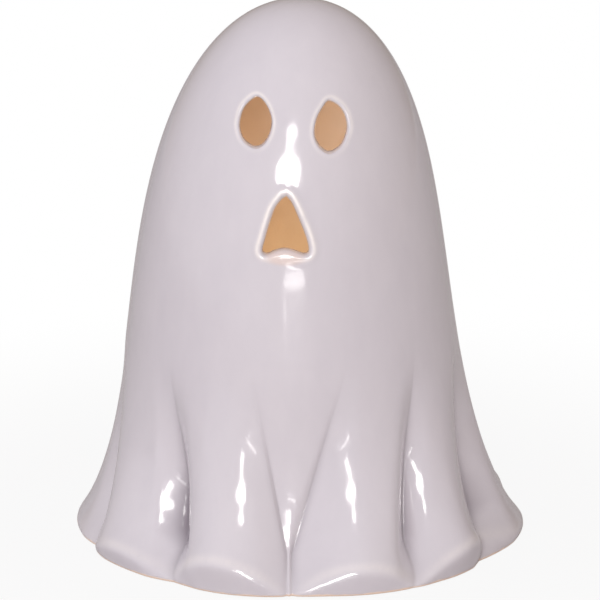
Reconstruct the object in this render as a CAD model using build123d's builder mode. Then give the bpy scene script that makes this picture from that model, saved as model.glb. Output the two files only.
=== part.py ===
"""Lit ceramic ghost: a slip-cast draped shell that lifts off a battery light base set in its floor.

Millimetres, +Z up. The origin is on the table, in the middle of the foot. The face looks along -Y.
"""

import os
from collections import namedtuple
from math import cos, exp, pi, radians, sin, sqrt

from build123d import *

os.makedirs("parts", exist_ok=True)

# Draped body
figure_height = 165.0
foot_radius = 70.8
body_radius = 47.8
dome_fullness = 3.7  # higher keeps the body wide further up
dome_rounding = 0.48  # one half gives an elliptical crown
flare_fade = 36.8  # height over which the skirt's flare dies away
hem_flick = 1.6  # the last turn outwards at the hem
hem_flick_fade = 4.0
body_lean = 2.8  # sideways bow of the body at mid height
ceramic_wall = 4.5
floor_thickness = 4.0
foot_rim_width = 10.8
crown_join = 6.0  # height of the turned cap that closes the crown
crown_step = 0.2  # the cap stands this far inside the drape below it
fold_levels = (0.0, 2.5, 5.0, 7.5, 10.0, 13.0, 17.0, 22.0, 29.0, 38.0, 50.0, 63.0)  # outlines with folds
crown_shares = (0.2, 0.42, 0.6, 0.74, 0.85, 0.93, 1.0)  # outlines from the last of them to the crown

# Folds of the drape: one crease a row, round from the viewer's left
Crease = namedtuple(
    "Crease",
    "hem_azimuth top_azimuth tip fade bend depth wall_before wall_after spread shoulder rounding "
    "notch lift lip hold",
)
creases = [
    Crease(-64.0, -86.0, 0.0, 62.0, 0.6, 6.5, 10.0, 3.0, 0.8, 1.5, 0.0, 0.42, 0.3, 5.0, 0.0),
    Crease(-31.6, -45.0, 0.0, 64.0, 0.55, 11.0, 8.0, 7.0, 0.0, 1.1, 0.0, 0.22, 1.5, 9.0, 0.0),
    Crease(-3.5, -13.6, 10.0, 66.0, 1.0, 5.0, 7.0, 3.0, 0.6, 1.4, 0.0, 0.45, 0.0, 0.0, 0.8),
    Crease(-1.5, 19.5, 10.0, 66.0, 1.0, 7.0, 3.0, 20.0, -0.8, 1.1, 0.0, 0.35, 0.0, 7.5, 0.0),
    Crease(27.0, 46.5, 0.0, 66.0, 0.6, 8.5, 7.0, 4.0, 1.2, 1.6, 0.0, 0.05, 0.5, 6.5, 0.0),
    Crease(51.5, 77.0, 0.0, 64.0, 0.55, 13.0, 5.0, 17.0, 0.0, 1.15, 0.0, 0.22, 5.0, 0.3, 0.0),
    Crease(105.0, 105.0, 0.0, 62.0, 1.0, 4.0, 15.0, 8.0, 0.4, 1.3, 0.0, 0.5, 1.0, 5.0, 0.0),
    Crease(129.0, 125.0, 0.0, 66.0, 1.5, 6.0, 3.5, 6.0, 1.2, 1.5, 0.3, 0.2, 1.0, 7.0, 0.0),
    Crease(150.6, 144.0, 10.0, 66.0, 1.0, 5.0, 7.0, 3.0, 0.6, 1.4, 0.0, 0.45, 0.0, 0.0, 0.8),
    Crease(152.6, 168.0, 10.0, 66.0, 1.0, 6.0, 3.0, 13.0, -0.6, 1.2, 0.0, 0.4, 0.0, 8.0, 0.0),
    Crease(185.0, 189.0, 0.0, 64.0, 1.0, 6.5, 6.5, 3.2, 1.2, 1.5, 0.0, 0.25, 1.0, 6.5, 0.0),
    Crease(214.0, 220.0, 0.0, 62.0, 1.5, 6.0, 3.4, 4.5, 1.2, 1.5, 0.4, 0.25, 1.0, 7.5, 0.0),
    Crease(251.0, 247.0, 0.0, 66.0, 1.0, 6.0, 4.0, 5.0, 1.2, 1.5, 0.0, 0.2, 1.0, 0.6, 0.0),
]
# azimuths and wall widths are degrees; a crease turns from its hem azimuth above its tip and is gone at
# its fade; its walls change by spread on the way up, shoulder is how sharply they meet the lobes, and
# rounding how far the wall before it is hollow like a trough;
# notch is the share of its depth left at the table, lift the height at which it ends there;
# lip is the rounded hem of the lobe after it, and hold how far that lobe stays sunk between its creases
groove_rise = 12.0  # height at which a crease is deepest
groove_crispness = 0.65  # share of the depth in the pointed crease, the rest in a broad dip
lip_softness = 1.4
lip_fade = 25.0
band_inset = 1.0  # the band under a lobe's lip draws in by this much
band_full = 6.0  # lip height from which the band draws in fully
foot_depth = 2.2  # the foot reaches this much further to front and back than to the sides
foot_depth_fade = 25.0
lobe_stations = (0.0, 0.06, 0.13, 0.24, 0.4, 0.6, 0.76, 0.87, 0.94)
sunk_stations = (0.0, 0.333, 0.667)  # on a lobe that is held sunk

# Face
eye_width = 9.5
eye_height = 14.0
eye_belly = 0.42  # where the eye is widest, as a share of its height
left_eye_across = -13.1
left_eye_drop = 37.5  # from the crown down to the eye's lowest point
right_eye_across = 8.8
right_eye_drop = 38.9
mouth_width = 13.8
mouth_height = 16.8
mouth_across = -4.3
mouth_drop = 67.7
mouth_corner = 2.2
mouth_tip = 1.6
mouth_arch = 1.9  # rise of the lower edge
face_edge = 1.0

# Light base
pad_height = 1.5
pad_radius = 4.0
pad_count = 4
skin = 2.0
seat_gap = 0.3
lift_clearance = 0.3
seal_wall = 1.0
seal_rib = 0.7
seal_height = 4.6
cup_wall = 2.0
flange_overlap = 8.0
cup_height = 18.0
deck_thickness = 2.0
deck_lip = 1.6
deck_lip_depth = 2.2
fit_gap = 0.2
tub_corner_gap = 0.2

# Cells and their tub
cell_radius = 5.25
cell_length = 44.5
cell_nub_radius = 1.9
cell_nub = 1.0
cell_gap = 0.6
cell_side_gap = 0.4
tub_wall = 1.5
tub_shift = -4.0
contact_plate = 0.5
contact_dimple = 0.5
spring_length = 5.0
spring_wire = 0.3
spring_radius = 2.0
spring_turns = 4
contact_width = 9.0
contact_height = 7.2
tail_width = 2.5
tail_rise = 1.2
dimple_radius = 1.3

# Battery door
door_thickness = 1.8
door_ledge = 0.5
door_gap = 0.3
door_lug_radius = 3.4
tab_width = 5.0
tab_thickness = 1.1
tab_reach = 2.0
tab_gap = 0.3

# Screws
screw_radius = 1.2
screw_head_radius = 2.1
screw_head = 0.9
screw_slot = 0.6
screw_gap = 0.3
thread_gap = 0.05
boss_radius = 2.8
boss_gap = 0.35
boss_overlap = 0.4  # how far a boss runs into the wall beside it
door_screw_length = 4.8
deck_screw_length = 9.0
deck_screw_angles = (-90.0, 38.0, 142.0)

# Lamp
dome_radius = 12.0
dome_wall = 1.2
dome_collar = 1.6
dome_collar_height = 2.0
dome_straight = 5.5
led_radius = 2.5
led_flange = 0.4
led_flange_height = 1.0
led_straight = 6.0
led_pin_pitch = 2.54
led_pin = 0.3
led_pin_drop = 0.5
lead_radius = 0.6
lead_bend = 1.0
lead_spread = 2.2
lead_step = 3.5  # between the two battery leads

# Circuit board and switch
board_length = 34.0
board_width = 14.0
board_thickness = 1.2
board_gap = 2.3
board_height = 7.0
stake_edge = 3.0  # from the board's end to a stake
stake_radius = 2.0
stake_pin = 0.9
switch_length = 12.0
switch_width = 6.0
switch_wall = 0.8
switch_travel = 4.0
knob_length = 3.0
knob_width = 2.6
knob_shoulder = 0.8
knob_flare = 1.2
knob_drop = 0.9
knob_gap = 0.3
chip_length = 5.0
chip_width = 4.0
chip_height = 1.5
chip_leg = 0.45
chip_leg_reach = 1.2
chip_leg_thickness = 0.3
chip_pitch = 1.27
resistor_radius = 1.0
resistor_length = 5.0
resistor_pitch = 9.4
component_pin = 0.3
capacitor_radius = 2.5
capacitor_height = 6.5

# Levels, from the table up
base_bottom = pad_height
skin_top = base_bottom + skin
floor_underside = skin_top + seat_gap
floor_top = floor_underside + floor_thickness
cup_top = base_bottom + cup_height
deck_top = cup_top + deck_thickness
door_top = base_bottom + door_thickness
cell_axis = door_top + seat_gap + cell_radius
tub_ceiling = cell_axis + cell_radius + cell_side_gap

# Tub and door
tub_length = cell_length + spring_length + 2 * contact_plate + contact_dimple + fit_gap
tub_width = 4 * cell_radius + cell_gap + 2 * cell_side_gap
tub_end = tub_length / 2
tub_side = tub_width / 2
door_length = tub_length + 2 * door_ledge
door_width = tub_width + 2 * door_ledge
door_end = door_length / 2
door_lug_x = tub_end + tub_wall + boss_radius - boss_overlap
hinge_radius = door_thickness / 2
hinge_x = -door_end + hinge_radius
hinge_z = base_bottom + hinge_radius
tab_top = skin_top + tab_gap + tab_thickness
hinge_sweep = sqrt((hinge_radius + tab_reach) ** 2 + (tab_top - hinge_z) ** 2)
front_row = tub_shift - cell_radius - cell_gap / 2
rear_row = tub_shift + cell_radius + cell_gap / 2
tab_place = tub_shift - cell_gap - tab_width / 2
contact_bottom = tub_ceiling - fit_gap - contact_height
cell_reach = tub_end - contact_plate - spring_length  # from the middle to a cell's flat end

# Board beside the tub, and the round cup that takes them both
board_place = (0.0, tub_shift + tub_side + tub_wall + board_gap + board_width / 2)
board_top = board_height + board_thickness
stake_spread = board_length - 2 * stake_edge
tub_corner = sqrt((tub_end + tub_wall) ** 2 + (tub_side + tub_wall + abs(tub_shift)) ** 2)
board_corner = sqrt((board_length / 2) ** 2 + (board_place[1] + board_width / 2) ** 2)
cup_inner = max(tub_corner, board_corner) + tub_corner_gap
cup_outer = cup_inner + cup_wall
seal_outer = cup_outer + seal_wall + seal_rib
socket_radius = seal_outer + lift_clearance
flange_radius = socket_radius + flange_overlap
recess_radius = foot_radius - foot_rim_width
deck_screw_circle = cup_inner - boss_radius + boss_overlap
deck_screw_places = [
    (deck_screw_circle * cos(radians(angle)), deck_screw_circle * sin(radians(angle)))
    for angle in deck_screw_angles
]

# Leads
tail_top = tub_ceiling + tub_wall + tail_rise
lead_level = tail_top - lead_radius
lead_landing = board_place[1] - board_width / 2 + 2 * lead_radius + lead_bend
tail_face = -tub_end + contact_plate
pin_end = cup_top - led_pin_drop


def smooth(share):
    """Eases from 0 to 1 as share goes from 0 to 1."""
    share = min(max(share, 0.0), 1.0)
    return share * share * (3 - 2 * share)


def plain_radius(height, inset):
    """Radius of the body before it is folded; inset is how far inside the outer face it lies."""
    share = min(height / (figure_height - inset), 1.0)
    dome = (body_radius - inset) * (1 - share**dome_fullness) ** dome_rounding
    flare = (foot_radius - body_radius - hem_flick) * exp(-height / flare_fade)
    return dome + flare + hem_flick * exp(-height / hem_flick_fade)


def lean_at(height):
    """Sideways place of the body's middle at a height."""
    return -body_lean * sin(pi * height / figure_height)


def crease_azimuth(crease, height):
    """Azimuth of a crease at a height, in degrees from the front."""
    climb = min(max((height - crease.tip) / (crease.fade - crease.tip), 0.0), 1.0)
    return crease.hem_azimuth + (crease.top_azimuth - crease.hem_azimuth) * climb**crease.bend


def crease_depth(crease, height):
    """Depth of a crease at a height."""
    rise = crease.notch + (1 - crease.notch) * smooth(height / groove_rise)
    fade = smooth((height - groove_rise) / (crease.fade - groove_rise))
    return crease.depth * rise * (1 - fade)


def crease_share(crease, off, wall, reach, rounding):
    """Cross-section of a crease: 1 at its bottom, 0 at the crest of the lobe beside it."""
    pointed = max(1 - off / wall, 0.0) ** crease.shoulder
    trough = 1 - min(off / wall, 1.0) ** 2
    narrow = pointed + (trough - pointed) * rounding
    broad = 0.5 + 0.5 * cos(pi * min(off / reach, 1.0))
    return groove_crispness * narrow + (1 - groove_crispness) * broad


def lip_height(first, second, station):
    """Height of a lobe's rounded hem between its two creases."""
    ends = first.lift * (1 - station) ** 2 + second.lift * station**2
    return ends + first.lip * sin(pi * station)


def lobe_point(number, station, height, inset):
    """A point of one lobe's outline at a height; station runs from its first crease to its second."""
    first = creases[number]
    second = creases[(number + 1) % len(creases)]
    start = crease_azimuth(first, height)
    span = (crease_azimuth(second, height) - start) % 360
    lip = lip_height(first, second, station) if height <= fold_levels[-1] else 0.0
    above = (sqrt((height - lip) ** 2 + lip_softness**2) + height - lip) / 2
    radius = plain_radius(above + lip * (1 - exp(-above / lip_fade)), inset)
    if lip > 0:
        radius -= band_inset * min(lip / band_full, 1.0) * (1 - smooth(height / lip))
    recess = 0.0
    for crease, share, wall in (
        (first, station, first.wall_after),
        (second, 1 - station, second.wall_before),
    ):
        spread = 1 + crease.spread * min(height / crease.fade, 1.0) + inset / ceramic_wall
        reach = span * wall / (first.wall_after + second.wall_before)
        rounding = crease.rounding if crease is second else 0.0
        profile = crease_share(crease, share * span, min(wall * spread, reach), reach, rounding)
        held = first.hold + (1 - first.hold) * profile
        recess = max(recess, crease_depth(crease, height) * held)
    azimuth = radians(start + station * span)
    radius += foot_depth * cos(azimuth) ** 2 * exp(-height / foot_depth_fade) - recess
    return (lean_at(height) + radius * sin(azimuth), -radius * cos(azimuth))


def drape_columns():
    """Lobe, station and place along the outline of every column of points, the same at all levels."""
    columns = []
    travelled = 0.0
    for number, first in enumerate(creases):
        second = creases[(number + 1) % len(creases)]
        hem_span = (second.hem_azimuth - first.hem_azimuth) % 360
        top_span = (second.top_azimuth - first.top_azimuth) % 360
        span = sqrt(hem_span * top_span)
        for station in sunk_stations if first.hold > 0 else lobe_stations:
            columns.append((number, station, travelled + span * station))
        travelled += span
    return columns, travelled


def drape_outline(height, inset):
    """Closed curve round the body at a height, parametrised alike at all levels."""
    columns, whole = drape_columns()
    points = [lobe_point(number, station, height, inset) for number, station, place in columns]
    places = [place for number, station, place in columns]
    return Edge.make_spline(points, periodic=True, parameters=places + [whole])


def drape_levels(bottom, top):
    """Heights of the outlines: close together at the hem and at the crown, apart between."""
    low = [bottom] + [level for level in fold_levels if level > bottom + 1]
    return low + [low[-1] + share * (top - low[-1]) for share in crown_shares]


def draped_solid(bottom, inset):
    """The closed draped form from a bottom level up, set in from the outer face by inset."""
    crown = figure_height - inset
    top = crown - crown_join
    with BuildPart() as drape:
        for height in drape_levels(bottom, top):
            with BuildSketch(Plane.XY.offset(height)):
                with BuildLine():
                    add(drape_outline(height, inset))
                make_face()
        loft()
        cap_radius = plain_radius(top, inset) - crown_step
        cap_middle = (plain_radius(top + crown_join / 2, inset), top + crown_join / 2)
        with BuildSketch(Plane.XZ.move(Location((lean_at(top), 0, 0)))):
            with BuildLine():
                Line((0, crown), (0, top))
                Line((0, top), (cap_radius, top))
                Spline((cap_radius, top), cap_middle, (0, crown), tangents=[(-0.7, 1), (-1, 0)])
            make_face()
        revolve(axis=Axis((lean_at(top), 0, 0), (0, 0, 1)))
    return drape.part



def drop_outline(width, height, belly):
    """Points of an eye standing on its lowest point: round below, drawn to a soft tip above."""
    half = [(0.34, 0.10 * belly / 0.42), (0.5, belly), (0.31, 0.5 + 0.5 * belly + 0.05), (0.11, 0.95)]
    right = [(width * across, height * up) for across, up in half]
    left = [(-across, up) for across, up in reversed(right)]
    return [(0, 0)] + right + [(0, height)] + left


def face_plane(across, drop):
    """Upright plane through the middle of the figure, its origin at a place on the face, looking out."""
    return Plane((across, 0, figure_height - drop), x_dir=(1, 0, 0), z_dir=(0, -1, 0))


def cross_recess(reach, slot, depth):
    """Cuts a cross of two slots down from the place that is current."""
    for angle in (0, 90):
        with Locations(Location((0, 0, 0), (0, 0, angle))):
            Box(
                2 * reach,
                slot,
                depth,
                align=(Align.CENTER, Align.CENTER, Align.MAX),
                mode=Mode.SUBTRACT,
            )


def wire_along(points, bend):
    """A round lead that follows the points with its corners bent."""
    with BuildPart() as wire:
        with BuildLine() as path:
            FilletPolyline(*points, radius=bend)
        with BuildSketch(Plane(path.line @ 0, z_dir=path.line % 0)):
            Circle(lead_radius)
        sweep()
    return wire.part


def on_opening_rim(edge, inset):
    """True for the edges of the face openings that lie on the face set in by inset."""
    middle = edge @ 0.5
    off = sqrt((middle.X - lean_at(middle.Z)) ** 2 + middle.Y**2)
    near = abs(off - plain_radius(middle.Z, inset)) < ceramic_wall / 4
    drop = figure_height - middle.Z
    in_face = left_eye_drop - 1.5 * eye_height < drop < mouth_drop + eye_height / 2
    return near and in_face and middle.Y < 0


outer_drape = draped_solid(0.0, 0.0)
inner_drape = draped_solid(floor_top, ceramic_wall)

# Ceramic ghost: hollow draped shell, open at the eyes and mouth, with a recessed floor and its socket
with BuildPart() as ghost_shell:
    add(outer_drape)
    add(inner_drape, mode=Mode.SUBTRACT)
    with BuildSketch(Plane.XY):
        Circle(recess_radius)
    extrude(amount=floor_underside, mode=Mode.SUBTRACT)
    with BuildSketch(Plane.XY):
        Circle(socket_radius)
    extrude(amount=floor_top + ceramic_wall, mode=Mode.SUBTRACT)
    for across, drop in ((left_eye_across, left_eye_drop), (right_eye_across, right_eye_drop)):
        with BuildSketch(face_plane(across, drop)):
            with BuildLine():
                Spline(*drop_outline(eye_width, eye_height, eye_belly), periodic=True)
            make_face()
    with BuildSketch(face_plane(mouth_across, mouth_drop)) as mouth:
        corner = mouth_width / 2 + mouth_corner / 3
        peak = mouth_height + mouth_tip
        with BuildLine():
            Line((-corner, 0), (0, peak))
            Line((0, peak), (corner, 0))
            ThreePointArc((corner, 0), (0, mouth_arch), (-corner, 0))
        make_face()
        fillet(mouth.vertices().group_by(Axis.Y)[0], mouth_corner)
        fillet(mouth.vertices().sort_by(Axis.Y)[-1], mouth_tip)
    extrude(amount=foot_radius, mode=Mode.SUBTRACT)
    fillet([edge for edge in ghost_shell.edges() if on_opening_rim(edge, 0.0)], face_edge)
ghost_shell.part.label = "ghost_shell"
export_step(ghost_shell.part, "parts/ghost_shell.step")

# Rubber seal: grips the cup and lies in the socket of the ceramic floor
with BuildPart() as seal_ring:
    with BuildSketch(Plane.XZ):
        with Locations((cup_outer, skin_top)):
            Rectangle(seal_wall, seal_height, align=(Align.MIN, Align.MIN))
        for share in (0.28, 0.72):
            rib_level = skin_top + share * seal_height
            root = cup_outer + seal_wall
            with BuildLine():
                Polyline(
                    (root, rib_level - seal_rib),
                    (root, rib_level + seal_rib),
                    (root + seal_rib, rib_level),
                    close=True,
                )
            make_face()
    revolve(axis=Axis.Z)
seal_ring.part.label = "seal_ring"
export_step(seal_ring.part, "parts/seal_ring.step")

# Housing: flanged skin, round cup, battery tub, screw bosses and board stakes in one moulding
with BuildPart() as base_housing:
    with BuildSketch(Plane.XY.offset(base_bottom)):
        Circle(flange_radius)
    extrude(amount=skin)
    chamfer(base_housing.edges().filter_by(GeomType.CIRCLE), skin / 5)
    with BuildSketch(Plane.XY.offset(skin_top)):
        Circle(cup_outer)
        Circle(cup_inner, mode=Mode.SUBTRACT)
    extrude(amount=cup_top - skin_top)
    with BuildSketch(Plane.XY.offset(skin_top)):
        with Locations((0, tub_shift)):
            RectangleRounded(tub_length + 2 * tub_wall, tub_width + 2 * tub_wall, 2 * tub_wall)
    extrude(amount=tub_ceiling + tub_wall - skin_top)
    with BuildSketch(Plane.XY.offset(skin_top)):
        with Locations(*deck_screw_places):
            Circle(boss_radius)
        Circle(cup_outer, mode=Mode.INTERSECT)
    extrude(amount=cup_top - skin_top)
    with BuildSketch(Plane.XY.offset(skin_top)):
        with Locations((door_lug_x, tub_shift)):
            Circle(boss_radius)
        Circle(cup_outer, mode=Mode.INTERSECT)
    extrude(amount=door_screw_length + tub_wall)
    with BuildSketch(Plane.XY.offset(skin_top)):
        with Locations(board_place):
            with GridLocations(stake_spread, 0, 2, 1):
                Circle(stake_radius)
    extrude(amount=board_height - skin_top)
    with BuildSketch(Plane.XY.offset(board_height)):
        with Locations(board_place):
            with GridLocations(stake_spread, 0, 2, 1):
                Circle(stake_pin)
    extrude(amount=2 * board_thickness)
    # Room for the cells, then the door's opening below it
    with BuildSketch(Plane.XY.offset(skin_top)):
        with Locations((0, tub_shift)):
            Rectangle(tub_length, tub_width)
    extrude(amount=tub_ceiling - skin_top, mode=Mode.SUBTRACT)
    with BuildSketch(Plane.XY.offset(base_bottom)):
        with Locations((0, tub_shift)):
            Rectangle(door_length + 2 * door_gap, door_width + 2 * door_gap)
        with Locations((door_lug_x, tub_shift)):
            Circle(door_lug_radius + door_gap)
        with Locations((door_end, tub_shift)):
            Rectangle(
                door_lug_x - door_end,
                2 * (door_lug_radius + door_gap),
                align=(Align.MIN, Align.CENTER),
            )
    extrude(amount=skin, mode=Mode.SUBTRACT)
    # Slot for the door's tab, room for the screws, slot for the knob, slots for the contact tails
    with BuildSketch(Plane.XY.offset(skin_top)):
        with Locations((-tub_end, tab_place)):
            Rectangle(2 * tub_wall, tab_width + 2 * tab_gap, align=(Align.MAX, Align.CENTER))
    extrude(amount=hinge_z + hinge_sweep + tab_gap - skin_top, mode=Mode.SUBTRACT)
    with BuildSketch(Plane.XY.offset(skin_top)):
        with Locations((door_lug_x, tub_shift)):
            Circle(screw_radius + boss_gap)
    extrude(amount=door_screw_length, mode=Mode.SUBTRACT)
    with BuildSketch(Plane.XY.offset(cup_top)):
        with Locations(*deck_screw_places):
            Circle(screw_radius + thread_gap)
    extrude(amount=-deck_screw_length, mode=Mode.SUBTRACT)
    with BuildSketch(Plane.XY.offset(base_bottom)):
        with Locations(board_place):
            Rectangle(knob_length + switch_travel + 2 * knob_gap, knob_width + 2 * knob_gap)
    extrude(amount=skin, mode=Mode.SUBTRACT)
    with BuildSketch(Plane.XY.offset(tub_ceiling)):
        with Locations((-tub_end, front_row), (-tub_end, rear_row)):
            Rectangle(contact_plate + fit_gap, tail_width + fit_gap, align=(Align.MIN, Align.CENTER))
    extrude(amount=tub_wall, mode=Mode.SUBTRACT)
base_housing.part.label = "base_housing"
export_step(base_housing.part, "parts/base_housing.step")

# Feet: round rubber pads under the flange
with BuildPart() as base_feet:
    with BuildSketch(Plane.XY):
        with PolarLocations(flange_radius - pad_radius - pad_height / 2, pad_count, start_angle=45):
            Circle(pad_radius)
    extrude(amount=pad_height)
    chamfer(base_feet.edges().group_by(Axis.Z)[0], pad_height / 4)
base_feet.part.label = "base_feet"
export_step(base_feet.part, "parts/base_feet.step")

# Deck: lid of the cup, with a locating lip below and a collar for the lamp dome above
with BuildPart() as base_deck:
    with BuildSketch(Plane.XY.offset(cup_top)):
        Circle(cup_outer)
    extrude(amount=deck_thickness)
    fillet(base_deck.edges().group_by(Axis.Z)[-1], deck_thickness / 4)
    with BuildSketch(Plane.XY.offset(cup_top)):
        Circle(cup_inner - fit_gap)
        Circle(cup_inner - fit_gap - deck_lip, mode=Mode.SUBTRACT)
        with Locations(*deck_screw_places):
            Circle(boss_radius + boss_overlap, mode=Mode.SUBTRACT)
    extrude(amount=-deck_lip_depth)
    with BuildSketch(Plane.XY.offset(deck_top)):
        Circle(dome_radius + fit_gap + dome_collar)
        Circle(dome_radius + fit_gap, mode=Mode.SUBTRACT)
    extrude(amount=dome_collar_height)
    chamfer(base_deck.edges().group_by(Axis.Z)[-1].sort_by(SortBy.LENGTH)[-1], dome_collar / 4)
    with BuildSketch(Plane.XY.offset(cup_top)):
        Circle(led_pin_pitch / 2 + 2 * led_pin)
        with Locations(*deck_screw_places):
            Circle(screw_radius + fit_gap)
    extrude(amount=deck_thickness, mode=Mode.SUBTRACT)
    with BuildSketch(Plane.XY.offset(deck_top)):
        with Locations(*deck_screw_places):
            Circle(screw_head_radius + screw_gap)
    extrude(amount=-screw_head, mode=Mode.SUBTRACT)
base_deck.part.label = "base_deck"
export_step(base_deck.part, "parts/base_deck.step")

# Deck screws: three, heads sunk in the deck
with BuildPart() as deck_screws:
    with BuildSketch(Plane.XY.offset(deck_top - screw_head)):
        with Locations(*deck_screw_places):
            Circle(screw_head_radius)
    extrude(amount=screw_head)
    with BuildSketch(Plane.XY.offset(deck_top - screw_head)):
        with Locations(*deck_screw_places):
            Circle(screw_radius)
    extrude(amount=-deck_screw_length)
    with Locations(*[(across, along, deck_top) for across, along in deck_screw_places]):
        cross_recess(screw_head_radius * 0.7, screw_slot, screw_head * 0.6)
deck_screws.part.label = "deck_screws"
export_step(deck_screws.part, "parts/deck_screws.step")

# Frosted lamp dome over the diode
dome_spring = deck_top + dome_straight
with BuildPart() as light_dome:
    with BuildSketch(Plane.XZ):
        with BuildLine():
            inner = dome_radius - dome_wall
            Line((inner, deck_top), (dome_radius, deck_top))
            Line((dome_radius, deck_top), (dome_radius, dome_spring))
            CenterArc((0, dome_spring), dome_radius, 0, 90)
            Line((0, dome_spring + dome_radius), (0, dome_spring + inner))
            CenterArc((0, dome_spring), inner, 0, 90)
            Line((inner, dome_spring), (inner, deck_top))
        make_face()
    revolve(axis=Axis.Z)
light_dome.part.label = "light_dome"
export_step(light_dome.part, "parts/light_dome.step")

# Diode with its two pins
with BuildPart() as led_lamp:
    with BuildSketch(Plane.XY.offset(deck_top)):
        Circle(led_radius + led_flange)
    extrude(amount=led_flange_height)
    with BuildSketch(Plane.XY.offset(deck_top)):
        Circle(led_radius)
    extrude(amount=led_straight)
    with Locations((0, 0, deck_top + led_straight)):
        Sphere(led_radius)
    with BuildSketch(Plane.XY.offset(deck_top)):
        with GridLocations(led_pin_pitch, 0, 2, 1):
            Circle(led_pin)
    extrude(amount=pin_end - deck_top)
led_lamp.part.label = "led_lamp"
export_step(led_lamp.part, "parts/led_lamp.step")

# Circuit board on its stakes, with the parts soldered to it
with BuildPart() as circuit_board:
    with BuildSketch(Plane.XY.offset(board_height)):
        with Locations(board_place):
            Rectangle(board_length, board_width)
            with GridLocations(stake_spread, 0, 2, 1):
                Circle(stake_pin + fit_gap / 2, mode=Mode.SUBTRACT)
    extrude(amount=board_thickness)
circuit_board.part.label = "circuit_board"
export_step(circuit_board.part, "parts/circuit_board.step")

chip_place = (board_length / 4 - chip_length / 2, board_place[1])
with BuildPart() as timer_chip:
    with BuildSketch(Plane.XY.offset(board_top + chip_leg_thickness / 2)):
        with Locations(chip_place):
            Rectangle(chip_length, chip_width)
    extrude(amount=chip_height)
    with BuildSketch(Plane.XY.offset(board_top)):
        with Locations(chip_place):
            with GridLocations(chip_pitch, chip_width + chip_leg_reach / 2, 4, 2):
                Rectangle(chip_leg, chip_leg_reach)
    extrude(amount=chip_leg_thickness)
timer_chip.part.label = "timer_chip"
export_step(timer_chip.part, "parts/timer_chip.step")

resistor_axis = board_top + resistor_radius + component_pin
resistor_place = (-board_length / 5, board_place[1] + board_width / 2 - 3 * resistor_radius, resistor_axis)
with BuildPart() as resistor:
    with Locations(resistor_place):
        Cylinder(resistor_radius, resistor_length, rotation=(0, 90, 0))
        Cylinder(component_pin, resistor_pitch + 2 * component_pin, rotation=(0, 90, 0))
        with GridLocations(resistor_pitch, 0, 2, 1):
            Cylinder(
                component_pin,
                resistor_axis - board_top,
                align=(Align.CENTER, Align.CENTER, Align.MAX),
            )
resistor.part.label = "resistor"
export_step(resistor.part, "parts/resistor.step")

capacitor_place = (
    board_length / 2 - 2.2 * capacitor_radius,
    board_place[1] - board_width / 2 + 1.3 * capacitor_radius,
)
with BuildPart() as capacitor:
    with BuildSketch(Plane.XY.offset(board_top)):
        with Locations(capacitor_place):
            Circle(capacitor_radius)
    extrude(amount=capacitor_height)
    fillet(capacitor.edges().group_by(Axis.Z)[-1], capacitor_radius / 5)
capacitor.part.label = "capacitor"
export_step(capacitor.part, "parts/capacitor.step")

# Slide switch under the board, and the knob that reaches through the skin
switch_height = board_height - skin_top - seat_gap
with BuildPart() as slide_switch:
    with BuildSketch(Plane.XY.offset(board_height - switch_height)):
        with Locations(board_place):
            Rectangle(switch_length, switch_width)
    extrude(amount=switch_height)
    with BuildSketch(Plane.XY.offset(board_height - switch_height + switch_wall)):
        with Locations(board_place):
            Rectangle(switch_length - 2 * switch_wall, switch_width - 2 * switch_wall)
    extrude(amount=switch_height - 2 * switch_wall, mode=Mode.SUBTRACT)
    with BuildSketch(Plane.XY.offset(board_height - switch_height)):
        with Locations(board_place):
            Rectangle(knob_length + switch_travel + 2 * knob_gap, knob_width + 2 * knob_gap)
    extrude(amount=switch_wall, mode=Mode.SUBTRACT)
slide_switch.part.label = "slide_switch"
export_step(slide_switch.part, "parts/slide_switch.step")

shoulder_level = board_height - switch_height + switch_wall + knob_gap
knob_place = (board_place[0] - switch_travel / 2, board_place[1])
with BuildPart() as switch_knob:
    with BuildSketch(Plane.XY.offset(base_bottom - knob_drop)):
        with Locations(knob_place):
            Rectangle(knob_length, knob_width)
    extrude(amount=shoulder_level + knob_shoulder - base_bottom + knob_drop)
    chamfer(switch_knob.edges().group_by(Axis.Z)[0], knob_width / 10)
    with BuildSketch(Plane.XY.offset(shoulder_level)):
        with Locations(knob_place):
            Rectangle(knob_length + 2 * knob_flare, switch_width - 2 * switch_wall - 2 * knob_gap)
    extrude(amount=knob_shoulder)
switch_knob.part.label = "switch_knob"
export_step(switch_knob.part, "parts/switch_knob.step")

# Cells: the front one points to +X, the rear one to -X
with BuildPart() as cell_front:
    with BuildSketch(Plane.YZ.offset(-cell_reach)):
        with Locations((front_row, cell_axis)):
            Circle(cell_radius)
    extrude(amount=cell_length - cell_nub)
    with BuildSketch(Plane.YZ.offset(-cell_reach)):
        with Locations((front_row, cell_axis)):
            Circle(cell_nub_radius)
    extrude(amount=cell_length)
cell_front.part.label = "cell_front"
export_step(cell_front.part, "parts/cell_front.step")

with BuildPart() as cell_rear:
    with BuildSketch(Plane.YZ.offset(cell_reach)):
        with Locations((rear_row, cell_axis)):
            Circle(cell_radius)
    extrude(amount=cell_nub - cell_length)
    with BuildSketch(Plane.YZ.offset(cell_reach)):
        with Locations((rear_row, cell_axis)):
            Circle(cell_nub_radius)
    extrude(amount=-cell_length)
cell_rear.part.label = "cell_rear"
export_step(cell_rear.part, "parts/cell_rear.step")

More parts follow.
